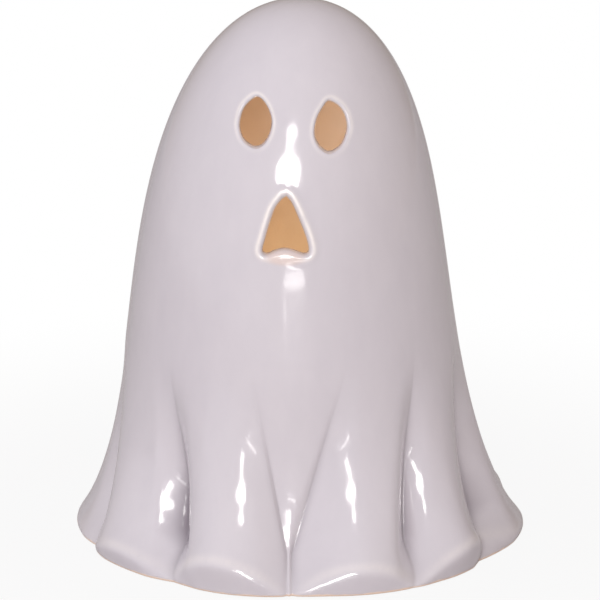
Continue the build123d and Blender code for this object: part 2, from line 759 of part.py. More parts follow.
# Contacts: two tailed plates at the -X end, one bridge at the +X end
plate_middle = contact_bottom + contact_height / 2
with BuildPart() as negative_contact:
    with BuildSketch(Plane.YZ.offset(-tub_end)):
        with Locations((front_row, plate_middle)):
            Rectangle(contact_width, contact_height)
        with Locations((front_row, plate_middle)):
            Rectangle(tail_width, tail_top - plate_middle, align=(Align.CENTER, Align.MIN))
    extrude(amount=contact_plate)
negative_contact.part.label = "negative_contact"
export_step(negative_contact.part, "parts/negative_contact.step")

with BuildPart() as positive_contact:
    with BuildSketch(Plane.YZ.offset(-tub_end)):
        with Locations((rear_row, plate_middle)):
            Rectangle(contact_width, contact_height)
        with Locations((rear_row, plate_middle)):
            Rectangle(tail_width, tail_top - plate_middle, align=(Align.CENTER, Align.MIN))
    extrude(amount=contact_plate)
    with BuildSketch(Plane.YZ.offset(-tub_end)):
        with Locations((rear_row, cell_axis)):
            Circle(dimple_radius)
    extrude(amount=contact_plate + contact_dimple)
positive_contact.part.label = "positive_contact"
export_step(positive_contact.part, "parts/positive_contact.step")

with BuildPart() as bridge_contact:
    with BuildSketch(Plane.YZ.offset(tub_end)):
        with Locations((tub_shift, plate_middle)):
            Rectangle(tub_width - 2 * fit_gap, contact_height)
    extrude(amount=-contact_plate)
    with BuildSketch(Plane.YZ.offset(tub_end)):
        with Locations((front_row, cell_axis)):
            Circle(dimple_radius)
    extrude(amount=-contact_plate - contact_dimple)
bridge_contact.part.label = "bridge_contact"
export_step(bridge_contact.part, "parts/bridge_contact.step")

# Coil springs behind the flat ends of the cells
spring_rise = spring_length - 2 * spring_wire
spring_start = tub_end - contact_plate - spring_wire
with BuildPart() as contact_springs:
    for row, end, aim in ((front_row, -spring_start, 1), (rear_row, spring_start, -1)):
        with BuildLine() as coil:
            Helix(
                pitch=spring_rise / spring_turns,
                height=spring_rise,
                radius=spring_radius,
                center=(end, row, cell_axis),
                direction=(aim, 0, 0),
            )
        with BuildSketch(Plane(coil.line @ 0, z_dir=coil.line % 0)):
            Circle(spring_wire)
        sweep(path=coil.line, is_frenet=True)
contact_springs.part.label = "contact_springs"
export_step(contact_springs.part, "parts/contact_springs.step")

# Leads: two from the contact tails to the board, two from the board to the diode
for name, row, step in (("battery_lead_red", rear_row, 1), ("battery_lead_black", front_row, 2)):
    turn = tail_face + step * lead_step
    landing = -board_length / 2 + lead_bend + (step - 0.7) * lead_step
    points = [
        (tail_face, row, lead_level),
        (turn, row, lead_level),
        (turn, lead_landing - lead_step, lead_level),
        (landing, lead_landing, (lead_level + board_top) / 2),
        (landing, lead_landing, board_top),
    ]
    lead = wire_along(points, lead_bend)
    lead.label = name
    export_step(lead, "parts/" + name + ".step")

for name, side in (("led_lead_red", 1), ("led_lead_black", -1)):
    run_level = pin_end - lead_bend - fit_gap
    points = [
        (lead_spread * side, lead_landing, board_top),
        (lead_spread * side, lead_landing, run_level),
        (led_pin_pitch / 2 * side, 0, run_level),
        (led_pin_pitch / 2 * side, 0, pin_end),
    ]
    lead = wire_along(points, lead_bend)
    lead.label = name
    export_step(lead, "parts/" + name + ".step")

# Battery door: round-ended plate that swings on a hooked tab, held by the screw in its lug
with BuildPart() as battery_door:
    with BuildSketch(Plane.XY.offset(base_bottom)):
        with Locations((hinge_x, tub_shift)):
            Rectangle(door_end - hinge_x, door_width, align=(Align.MIN, Align.CENTER))
        with Locations((door_end, tub_shift)):
            Rectangle(door_lug_x - door_end, 2 * door_lug_radius, align=(Align.MIN, Align.CENTER))
        with Locations((door_lug_x, tub_shift)):
            Circle(door_lug_radius)
    extrude(amount=door_thickness)
    with Locations((hinge_x, tub_shift, hinge_z)):
        Cylinder(hinge_radius, door_width, rotation=(90, 0, 0))
    with BuildSketch(Plane.XZ.offset(-tab_place)):
        with BuildLine():
            tab_tip = -door_end - tab_reach
            tab_root = hinge_x + 1.5 * tab_thickness
            Polyline(
                (hinge_x, hinge_z),
                (tab_root, hinge_z),
                (tab_root, tab_top),
                (tab_tip, tab_top),
                (tab_tip, tab_top - tab_thickness),
                (hinge_x, tab_top - tab_thickness),
                close=True,
            )
        make_face()
    extrude(amount=tab_width / 2, both=True)
    with BuildSketch(Plane.XY.offset(base_bottom)):
        with Locations((door_lug_x, tub_shift)):
            Circle(screw_radius + screw_gap)
    extrude(amount=door_thickness, mode=Mode.SUBTRACT)
    with BuildSketch(Plane.XY.offset(base_bottom)):
        with Locations((door_lug_x, tub_shift)):
            Circle(screw_head_radius + screw_gap)
    extrude(amount=screw_head + thread_gap, mode=Mode.SUBTRACT)
battery_door.part.label = "battery_door"
export_step(battery_door.part, "parts/battery_door.step")

# Door screw: turns in the lug, its cross recess faces down
with BuildPart() as door_screw:
    with BuildSketch(Plane.XY.offset(base_bottom)):
        with Locations((door_lug_x, tub_shift)):
            Circle(screw_head_radius)
    extrude(amount=screw_head)
    with BuildSketch(Plane.XY.offset(base_bottom)):
        with Locations((door_lug_x, tub_shift)):
            Circle(screw_radius)
    extrude(amount=door_screw_length)
    with Locations(Location((door_lug_x, tub_shift, base_bottom), (180, 0, 0))):
        cross_recess(screw_head_radius * 0.7, screw_slot, screw_head * 0.6)
door_screw.part.label = "door_screw"
export_step(door_screw.part, "parts/door_screw.step")
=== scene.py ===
import bisect
import math
import bmesh
import bpy
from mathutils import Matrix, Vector


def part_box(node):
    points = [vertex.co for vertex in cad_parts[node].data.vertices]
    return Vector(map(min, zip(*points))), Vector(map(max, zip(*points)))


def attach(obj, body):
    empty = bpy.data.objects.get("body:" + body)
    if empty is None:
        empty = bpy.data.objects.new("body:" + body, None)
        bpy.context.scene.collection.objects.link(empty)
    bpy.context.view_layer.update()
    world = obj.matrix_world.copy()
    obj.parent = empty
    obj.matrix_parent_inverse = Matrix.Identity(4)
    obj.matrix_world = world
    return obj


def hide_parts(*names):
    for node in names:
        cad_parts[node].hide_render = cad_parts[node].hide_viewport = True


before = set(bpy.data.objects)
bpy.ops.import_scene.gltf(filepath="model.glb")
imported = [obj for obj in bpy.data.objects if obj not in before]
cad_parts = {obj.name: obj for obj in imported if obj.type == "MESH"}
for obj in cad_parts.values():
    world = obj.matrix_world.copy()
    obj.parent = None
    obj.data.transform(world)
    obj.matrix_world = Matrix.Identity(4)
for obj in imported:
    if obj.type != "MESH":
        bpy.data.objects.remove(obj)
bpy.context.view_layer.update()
mm = 0.001
print("frame loaded:", len(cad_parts), "nodes")

bpy.context.scene.view_settings.view_transform = "Standard"


# Small helpers for meshes and materials

def addObject(name, data):
    thing = bpy.data.objects.new(name, data)
    bpy.context.scene.collection.objects.link(thing)
    return thing


def newPiece(name, mesh, body):
    piece = addObject(name, mesh)
    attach(piece, body)
    return piece


def finishMesh(mesh, name):
    bmesh.ops.recalc_face_normals(mesh, faces=mesh.faces)
    data = bpy.data.meshes.new(name)
    mesh.to_mesh(data)
    mesh.free()
    return data


def addFace(mesh, corners, slot, smooth=True):
    face = mesh.faces.new(corners)
    face.material_index = slot
    face.smooth = smooth


def newMaterial(name):
    material = bpy.data.materials.new(name)
    material.use_nodes = True
    return material, material.node_tree, material.node_tree.nodes["Principled BSDF"]


def addNode(tree, kind, **settings):
    node = tree.nodes.new(kind)
    for key, value in settings.items():
        setattr(node, key, value)
    return node


def link(source, target):  # a constant is set on the socket instead
    if isinstance(source, (int, float, tuple)):
        target.default_value = source
    else:
        target.id_data.links.new(source, target)


def setInputs(node, **values):
    for key, value in values.items():
        link(value, node.inputs[key.replace("_", " ")])


def colourOf(red, green, blue):  # written as seen on screen, turned to linear light
    def linear(level):
        level /= 255
        return level / 12.92 if level <= 0.04045 else ((level + 0.055) / 1.055) ** 2.4
    return (linear(red), linear(green), linear(blue), 1.0)


def ease(share):
    share = min(max(share, 0.0), 1.0)
    return share * share * (3 - 2 * share)


# Draped ceramic shell

ghostForm = {
    "height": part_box("ghost_shell")[1][2],
    "footRadius": 70.8 * mm,
    "hemFlick": 1.6 * mm,  # the last turn outwards at the hem
    "hemFlickFade": 4 * mm,
    "bodyRadius": 47.8 * mm,
    "domeFullness": 3.7,
    "domeRounding": 0.48,
    "flareFade": 36.8 * mm,
    "lean": 2.8 * mm,
    "wall": 4.5 * mm,
    "floorUnderside": 3.8 * mm,
    "floorTop": 7.8 * mm,
    "floorCove": 2.0 * mm,  # rise and run of the turn from the inner wall to the floor
    "recessRadius": 60 * mm,
    "recessBevel": 1.2 * mm,
    "socketRadius": 36.03 * mm,
    "edgeBevel": 0.5 * mm,
    "grooveRise": 12 * mm,  # height at which a fold is deepest
    "crispness": 0.65,
    "lipSoftness": 1.4 * mm,
    "lipFade": 25 * mm,
    "lipFull": 6 * mm,  # a lip this high has the whole band under it
    "bandInset": 1.0 * mm,  # the band under a lobe's lip draws in by this much at the foot
    "footDepth": 2.2 * mm,  # the foot reaches this much further to front and back than to the sides
    "footDepthFade": 25 * mm,
    "footBevel": 0.25 * mm,
    "footBevelHeight": 0.15 * mm,
    "footFlatShare": 0.99,
}
shellGrid = {
    "hemStart": 0.6 * mm,
    "hemStep": 0.55 * mm,
    "hemRows": 25,
    "drapeStep": 1.0 * mm,
    "drapeRows": 56,
    "crownRows": 80,
    "innerRows": 56,
    "columnSpan": 3.3,  # degrees to a column of the inside
    "leastColumns": 4,  # on the narrowest lobe
    "fineColumns": 3,  # outer columns to each column of the inside
    "columnCrowding": 0.6,  # towards the creases
    "outerMargin": 0.9,  # millimetres from a rim to its window in the grid
    "innerMargin": 1.2 * mm,
}

# one row per crease, round from the viewer's left, in degrees and millimetres
# it runs from its azimuth at the hem to its azimuth where it fades, turning off above tip
# wallBefore and wallAfter are the widths of its two walls at the hem, spread their change up to the fade,
# shoulder how sharply they meet the lobes, rounding how far the wall before it is hollow like a trough,
# notch the share of its depth left at the foot, lift the height at which it ends,
# lip the hem of the lobe after it, hold how far that lobe stays sunk
foldNames = ("hem", "top", "tip", "fade", "bend", "depth", "wallBefore", "wallAfter", "spread",
             "shoulder", "rounding", "notch", "lift", "lip", "hold")
foldRows = [
    (-64, -86, 0, 62, 0.6, 6.5, 10.0, 3.0, 0.8, 1.5, 0.0, 0.42, 0.3, 5.0, 0),
    (-31.6, -45, 0, 64, 0.55, 11.0, 8.0, 7.0, 0.0, 1.1, 0.0, 0.22, 1.5, 9.0, 0),
    (-3.1, -13.6, 10, 66, 1.0, 5.0, 7.0, 3.0, 0.6, 1.4, 0.0, 0.45, 0.0, 0.0, 0.8),
    (-1.9, 19.5, 10, 66, 1.0, 7.0, 3.0, 20.0, -0.8, 1.1, 0.0, 0.35, 0.0, 7.5, 0),
    (27, 46.5, 0, 66, 0.6, 8.5, 7.0, 4.0, 1.2, 1.6, 0.0, 0.05, 0.5, 6.5, 0),
    (51.5, 77, 0, 64, 0.55, 13.0, 5.0, 17.0, 0.0, 1.15, 0.0, 0.22, 5.0, 0.3, 0),
    (105, 105, 0, 62, 1.0, 4.0, 15.0, 8.0, 0.4, 1.3, 0.0, 0.50, 1.0, 5.0, 0),
    (129, 125, 0, 66, 1.5, 6.0, 3.5, 6.0, 1.2, 1.5, 0.3, 0.20, 1.0, 7.0, 0),
    (151, 144, 10, 66, 1.0, 5.0, 7.0, 3.0, 0.6, 1.4, 0.0, 0.45, 0.0, 0.0, 0.8),
    (152.2, 168, 10, 66, 1.0, 6.0, 3.0, 13.0, -0.6, 1.2, 0.0, 0.40, 0.0, 8.0, 0),
    (185, 189, 0, 64, 1.0, 6.5, 6.5, 3.2, 1.2, 1.5, 0.0, 0.25, 1.0, 6.5, 0),
    (214, 220, 0, 62, 1.5, 6.0, 3.4, 4.5, 1.2, 1.5, 0.4, 0.25, 1.0, 7.5, 0),
    (251, 247, 0, 66, 1.0, 6.0, 4.0, 5.0, 1.2, 1.5, 0.0, 0.20, 1.0, 0.6, 0),
]
folds = [dict(zip(foldNames, row)) for row in foldRows]


def lobeEnds(number):  # the creases before and after a lobe
    return folds[number], folds[(number + 1) % len(folds)]


def plainRadius(height, inset):
    share = min(height / (ghostForm["height"] - inset), 1.0)
    dome = (1 - share ** ghostForm["domeFullness"]) ** ghostForm["domeRounding"]
    flick = ghostForm["hemFlick"] * math.exp(-height / ghostForm["hemFlickFade"])
    flare = ghostForm["footRadius"] - ghostForm["bodyRadius"] - ghostForm["hemFlick"]
    skirt = flare * math.exp(-height / ghostForm["flareFade"]) + flick
    return (ghostForm["bodyRadius"] - inset) * dome + skirt


def footReach(facing, height):
    return ghostForm["footDepth"] * facing * math.exp(-height / ghostForm["footDepthFade"])


def leanAt(height):
    return -ghostForm["lean"] * math.sin(math.pi * height / ghostForm["height"])


def creaseAzimuth(fold, height):
    climb = min(max((height / mm - fold["tip"]) / (fold["fade"] - fold["tip"]), 0.0), 1.0)
    return fold["hem"] + (fold["top"] - fold["hem"]) * climb ** fold["bend"]


def creaseDepth(fold, height):
    rise = fold["notch"] + (1 - fold["notch"]) * ease(height / ghostForm["grooveRise"])
    fade = ease((height - ghostForm["grooveRise"]) / (fold["fade"] * mm - ghostForm["grooveRise"]))
    return fold["depth"] * mm * rise * (1 - fade)


def creaseShare(fold, off, wall, reach, rounding):  # a crease with a soft shoulder, in a broad shallow dip
    pointed = max(1 - off / wall, 0.0) ** fold["shoulder"]
    trough = 1 - min(off / wall, 1.0) ** 2
    narrow = pointed + (trough - pointed) * rounding
    broad = 0.5 + 0.5 * math.cos(math.pi * min(off / reach, 1.0))
    return ghostForm["crispness"] * narrow + (1 - ghostForm["crispness"]) * broad


def lipHeight(number, station):
    first, second = lobeEnds(number)
    ends = first["lift"] * (1 - station) ** 2 + second["lift"] * station ** 2
    return mm * (ends + first["lip"] * math.sin(math.pi * station))


def lobePoint(number, station, height, inset):
    first, second = lobeEnds(number)
    start = creaseAzimuth(first, height)
    span = (creaseAzimuth(second, height) - start) % 360
    lip = lipHeight(number, station)
    above = (math.hypot(height - lip, ghostForm["lipSoftness"]) + height - lip) / 2
    radius = plainRadius(above + lip * (1 - math.exp(-above / ghostForm["lipFade"])), inset)
    if lip > 0:
        band = min(lip / ghostForm["lipFull"], 1.0)
        radius -= ghostForm["bandInset"] * band * (1 - ease(height / lip))
    recess = 0.0
    creases = ((first, station, first["wallAfter"]), (second, 1 - station, second["wallBefore"]))
    for fold, share, wall in creases:
        spread = 1 + fold["spread"] * min(height / (fold["fade"] * mm), 1.0) + inset / ghostForm["wall"]
        reach = span * wall / (first["wallAfter"] + second["wallBefore"])
        rounding = fold["rounding"] if fold is second else 0.0
        share = creaseShare(fold, share * span, min(wall * spread, reach), reach, rounding)
        recess = max(recess, creaseDepth(fold, height) * (first["hold"] + (1 - first["hold"]) * share))
    azimuth = math.radians(start + station * span)
    radius -= recess
    radius += footReach(math.cos(azimuth) ** 2, height)
    return Vector((leanAt(height) + radius * math.sin(azimuth), -radius * math.cos(azimuth), height))


# painted light on the drape: a painted highlight just above each lobe's lip, painted shade under the lip
# and down the creases
highlightAndShadeForm = {
    "lipShare": 0.3,  # glaze thinning and painted highlight just above a lobe's lip
    "lipRise": 0.8 * mm,
    "lipSpread": 1.1 * mm,
    "bandShare": 0.31,  # painted shade under the lip
    "bandFade": 2.0 * mm,
    "fullDepth": 6 * mm,  # a crease this deep gets the full painted shade
    "wideDepth": 8 * mm,  # and the painted shade widens in a deeper one
    "narrowness": 12,
    "widening": 3.3,
}


def highlightAndShade(number, station, height):  # shares of glaze thinning with painted highlight, and of painted shade
    first, second = lobeEnds(number)
    lip = lipHeight(number, station)
    size = min(lip / ghostForm["lipFull"], 1.0)
    off = (height - lip - highlightAndShadeForm["lipRise"]) / highlightAndShadeForm["lipSpread"]
    onLip = highlightAndShadeForm["lipShare"] * math.exp(-off ** 2) * size
    drop = (height - lip + highlightAndShadeForm["bandFade"]) / highlightAndShadeForm["bandFade"]
    below = highlightAndShadeForm["bandShare"] * (1 - ease(drop)) * size
    inCrease = 0.0
    for fold, share in ((first, station), (second, 1 - station)):
        depth = creaseDepth(fold, height)
        wide = max(depth / highlightAndShadeForm["wideDepth"], 1.0)
        edge = max(1 - share * highlightAndShadeForm["narrowness"] / wide ** highlightAndShadeForm["widening"], 0)
        inCrease = max(inCrease, depth / highlightAndShadeForm["fullDepth"] * wide * edge ** 2)
    return onLip, max(below, inCrease)


def lobeStations(fine):  # (lobe, station) of each column, more of them on a wide lobe
    turn = 2 * math.pi
    crowd = shellGrid["columnCrowding"]
    places = []
    for number in range(len(folds)):
        fold, after = lobeEnds(number)
        span = ((after["hem"] - fold["hem"]) % 360 + (after["top"] - fold["top"]) % 360) / 2
        count = max(round(span / shellGrid["columnSpan"]), shellGrid["leastColumns"]) * fine
        places += [(number, k / count - crowd * math.sin(turn * k / count) / turn) for k in range(count)]
    return places


def drapeRing(mesh, height, inset, stations):
    return [mesh.verts.new(lobePoint(number, station, height, inset)) for number, station in stations]


def roundRing(mesh, radius, height, count, turn):  # a plain circle whose corners line up with the drape
    ring = []
    for step in range(count):
        azimuth = turn + 2 * math.pi * step / count
        ring.append(mesh.verts.new((radius * math.sin(azimuth), -radius * math.cos(azimuth), height)))
    return ring


def skinBetween(mesh, low, high, slot, skip=()):
    count = len(low)
    for k in range(count):
        if k not in skip:
            after = (k + 1) % count
            addFace(mesh, (low[k], low[after], high[after], high[k]), slot)


def skinRows(mesh, rings, windows, slot, inward=False):  # every row of a grid but its windows
    for row in range(len(rings) - 1):
        skip = set()
        for low, high, left, right in windows:
            if low <= row < high:
                skip.update(range(left, right))
        pair = (rings[row + 1], rings[row]) if inward else (rings[row], rings[row + 1])
        skinBetween(mesh, *pair, slot, skip)


def capRing(mesh, ring, point, slot):
    top = mesh.verts.new(point)
    for k in range(len(ring)):
        addFace(mesh, (ring[k], ring[(k + 1) % len(ring)], top), slot)


def angleRound(centre, vert):
    return math.atan2(vert.co.z - centre.y, vert.co.x - centre.x)


def zipLoops(mesh, outer, inner, centre, slot):  # joins two loops of different counts round one centre
    closing, done = 3.2, 9.0  # just past half a turn, and past any angle

    def startAt(loop):
        first = min(range(len(loop)), key=lambda k: angleRound(centre, loop[k]))
        loop = loop[first:] + loop[:first]
        return loop, [angleRound(centre, vert) for vert in loop]

    def nextAngle(angles, k):
        if k + 1 < len(angles):
            return angles[k + 1]
        return done if k >= len(angles) else closing

    outer, outerAngles = startAt(outer)
    inner, innerAngles = startAt(inner)
    i = j = 0
    while i < len(outer) or j < len(inner):
        here = outer[i % len(outer)]
        there = inner[j % len(inner)]
        if nextAngle(outerAngles, i) <= nextAngle(innerAngles, j):
            i += 1
            corners = (here, outer[i % len(outer)], there)
        else:
            j += 1
            corners = (here, inner[j % len(inner)], there)
        addFace(mesh, corners, slot)


# Face openings, drawn as soft closed outlines on the front (across, up), with a rounded bead for a rim
faceOpenings = {
    "leftEye": [(-13.3, 127.5), (-10.9, 128.6), (-9.1, 131.5), (-8.5, 135.3), (-10.0, 139.2),
                (-12.6, 141.3), (-15.4, 139.5), (-17.1, 137.0), (-17.9, 133.4), (-17.4, 130.8),
                (-16.0, 128.7)],
    "rightEye": [(9.0, 126.1), (12.1, 127.9), (13.7, 131.2), (13.9, 133.7), (12.9, 136.9), (11.0, 139.1),
                 (8.5, 140.3), (6.9, 138.7), (5.2, 135.9), (4.4, 132.3), (4.9, 129.6), (6.5, 127.3)],
    "mouth": [(-4.1, 114.1), (-5.8, 112.6), (-7.4, 110.3), (-9.0, 106.0), (-10.4, 101.2), (-11.1, 98.7),
              (-10.7, 97.5), (-9.3, 97.3), (-7.4, 98.2), (-4.6, 98.8), (-1.8, 98.3), (0.5, 97.4),
              (2.0, 97.4), (2.6, 98.7), (1.8, 102.2), (-0.1, 107.0), (-2.4, 112.0)],
}
# the bead round the mouth runs straight below its arched lower edge
beadDrop = {"mouth": {8: 0.95, 9: 1.6, 10: 1.05, 7: 0.15, 11: 0.2}}
rimForm = {
    # distance outside the edge and depth below the outer face, in millimetres, from the plain glaze inwards
    "profile": [(4.2, 0.0), (3.4, -0.06), (2.8, -0.18), (2.3, -0.32), (1.9, -0.42), (1.5, -0.44),
                (1.15, -0.36), (0.8, -0.16), (0.5, 0.16), (0.25, 0.6), (0.08, 1.1), (0.0, 1.7),
                (0.0, 2.6), (0.0, 3.5)],
    "beadPlace": 1.5,  # where the crest of the bead lies outside the edge, in millimetres
    "beadWidth": 0.6,
    # painted highlight along each bead's crest, with glaze thinning there
    "beadPale": {"leftEye": 0.6, "rightEye": 0.5, "mouth": 0.95},
    "beadHeight": {"leftEye": 0.12, "rightEye": 0.15, "mouth": 0.9},
    "beadReach": {"leftEye": 0.7, "rightEye": 0.8, "mouth": 1.0},  # how far the rim spreads
    "lowerPale": 0.2,  # share of that painted highlight along a lower edge
    "turnDepth": 0.6,  # from this depth on the rim runs straight back
    "throatPale": 0.2,
    "blendRings": 3,
    "outlineSteps": 24,  # points per stretch of outline
}


def closedOutline(points):  # smooth closed curve through the points
    outline = []
    count = len(points)
    steps = rimForm["outlineSteps"]
    for k in range(count):
        before, here, there, after = (Vector(points[(k + shift) % count]) for shift in (-1, 0, 1, 2))
        for step in range(steps):
            t = step / steps
            outline.append(0.5 * (2 * here + (there - before) * t
                                  + (2 * before - 5 * here + 4 * there - after) * t ** 2
                                  + (3 * here - before - 3 * there + after) * t ** 3))
    return [point * mm for point in outline]


def frontPoint(across, height):  # the front of the body above its folds
    radius = plainRadius(height, 0)
    off = across - leanAt(height)
    radius += footReach(max(1 - (off / radius) ** 2, 0), height)
    return Vector((across, -math.sqrt(max(radius * radius - off * off, 1e-9)), height))


def frontNormal(across, height):
    step = 0.2 * mm
    sideways = frontPoint(across + step, height) - frontPoint(across - step, height)
    upwards = frontPoint(across, height + step) - frontPoint(across, height - step)
    return sideways.cross(upwards).normalized()


def windowLoop(low, high, left, right):  # grid corners round a window, in order
    lower = [(low, k) for k in range(left, right)]
    rising = [(k, right) for k in range(low, high)]
    upper = [(high, k) for k in range(right, left, -1)]
    falling = [(k, left) for k in range(high, low, -1)]
    return lower + rising + upper + falling


def outlineNormals(outline):
    count = len(outline)
    normals = []
    for k in range(count):
        along = (outline[(k + 1) % count] - outline[k - 1]).normalized()
        normals.append(Vector((along.y, -along.x)))
    turning = sum(outline[k - 1].x * outline[k].y - outline[k].x * outline[k - 1].y for k in range(count))
    return normals if turning > 0 else [-normal for normal in normals]


def ringAtAngles(outline, centre, distance, angles):  # where rays from the centre meet the offset outline
    samples = []
    for point, normal in zip(outline, outlineNormals(outline)):
        place = point + normal * distance
        samples.append((math.atan2(place.y - centre.y, place.x - centre.x), place))
    samples.sort(key=lambda sample: sample[0])
    last, first = samples[-1], samples[0]
    samples = [(last[0] - 2 * math.pi, last[1])] + samples + [(first[0] + 2 * math.pi, first[1])]
    keys = [sample[0] for sample in samples]
    ring = []
    for angle in angles:
        k = bisect.bisect_right(keys, angle)
        (before, start), (after, stop) = samples[k - 1], samples[k]
        ring.append(start.lerp(stop, (angle - before) / (after - before)))
    return ring


def cutWindow(rings, heights, outline, centre, margin):  # the window of the grid that holds an outline
    reach = [point + (point - centre).normalized() * margin for point in outline]
    across = [point.x for point in reach]
    up = [point.y for point in reach]
    low = max(k for k in range(len(heights)) if heights[k] < min(up))
    high = min(k for k in range(len(heights)) if heights[k] > max(up))
    left, right = min(across), max(across)
    inside = []
    for row in range(low, high + 1):
        inside += [k for k, vert in enumerate(rings[row]) if vert.co.y < 0 and left < vert.co.x < right]
    return low, high, min(inside) - 1, max(inside) + 1


def rimLoops(mesh, name, corners, outline, beadLine, centre, thinAndHighlight):  # from a window to the back of its rim
    angles = [angleRound(centre, vert) for vert in corners]
    spread = rimForm["beadReach"][name]
    turnDepth = rimForm["turnDepth"]
    start = ringAtAngles(beadLine, centre, rimForm["profile"][0][0] * spread * mm, angles)
    loops = [corners]
    for step in range(rimForm["blendRings"]):
        share = (step + 1) / (rimForm["blendRings"] + 1)
        places = [Vector((vert.co.x, vert.co.z)).lerp(point, share) for vert, point in zip(corners, start)]
        loops.append([mesh.verts.new(frontPoint(place.x, place.y)) for place in places])
    for distance, depth in rimForm["profile"]:
        loop = []
        share = ease(distance / rimForm["beadPlace"])
        line = [edge.lerp(bead, share) for edge, bead in zip(outline, beadLine)]
        off = (distance - rimForm["beadPlace"]) / rimForm["beadWidth"]
        if depth < 0:
            depth *= rimForm["beadHeight"][name]
        for place in ringAtAngles(line, centre, distance * spread * mm, angles):
            below = max(-(place - centre).normalized().y, 0)
            raised = 1 - below ** 2 if depth < 0 else 1.0  # the bead dies away along a lower edge
            skin = frontPoint(place.x, place.y)
            skin -= frontNormal(place.x, place.y) * min(depth * raised, turnDepth) * mm
            skin.y += max(depth - turnDepth, 0) * mm
            vert = mesh.verts.new(skin)
            # painted highlight on the bead's crest, fainter along a lower edge
            pale = rimForm["beadPale"][name] * (1 + (rimForm["lowerPale"] - 1) * below ** 2)
            vert[thinAndHighlight] = pale * math.exp(-off * off) if depth < turnDepth else rimForm["throatPale"]
            loop.append(vert)
        loops.append(loop)
    return loops


def addFoot(mesh, hemRing, innerRing, innerStations, glaze, clay, inner):  # foot, recess, floor and socket
    shrink = 1 - ghostForm["footBevel"] / ghostForm["footRadius"]
    flat = ghostForm["footFlatShare"]
    footEdge = [mesh.verts.new(vert.co * shrink) for vert in hemRing]
    for vert in footEdge:
        vert.co.z = ghostForm["footBevelHeight"]
    footFlat = [mesh.verts.new((vert.co.x * flat, vert.co.y * flat, 0)) for vert in footEdge]
    skinBetween(mesh, footEdge, hemRing, glaze)
    skinBetween(mesh, footFlat, footEdge, clay)
    turn = math.radians(folds[0]["hem"])
    recess = ghostForm["recessRadius"]
    under = ghostForm["floorUnderside"]
    top = ghostForm["floorTop"]
    socket = ghostForm["socketRadius"]
    soft = ghostForm["edgeBevel"]
    bevel = ghostForm["recessBevel"]
    turned = [(recess + soft, 0), (recess, soft), (recess, under - bevel), (recess - bevel, under),
              (socket + soft, under), (socket, under + soft), (socket, top - soft), (socket + soft, top)]
    count = len(innerStations)
    rings = [roundRing(mesh, radius, level, count, turn) for radius, level in turned]
    ratio = len(footFlat) // count
    for k in range(count):
        fan = [footFlat[(k * ratio + step) % len(footFlat)] for step in range(ratio + 1)]
        addFace(mesh, [rings[0][k], rings[0][(k + 1) % count]] + fan[::-1], clay, smooth=False)
    for k, (low, high) in enumerate(zip(rings, rings[1:])):
        skinBetween(mesh, high, low, clay if k == 0 else inner)
    floorEdge = drapeRing(mesh, top, ghostForm["wall"] + ghostForm["floorCove"], innerStations)
    skinBetween(mesh, floorEdge, rings[-1], inner)
    skinBetween(mesh, innerRing, floorEdge, inner)


def crownRow(start, top, step, count):  # rows draw together towards the crown
    return start + (top - start) * math.sin(math.pi / 2 * step / count)


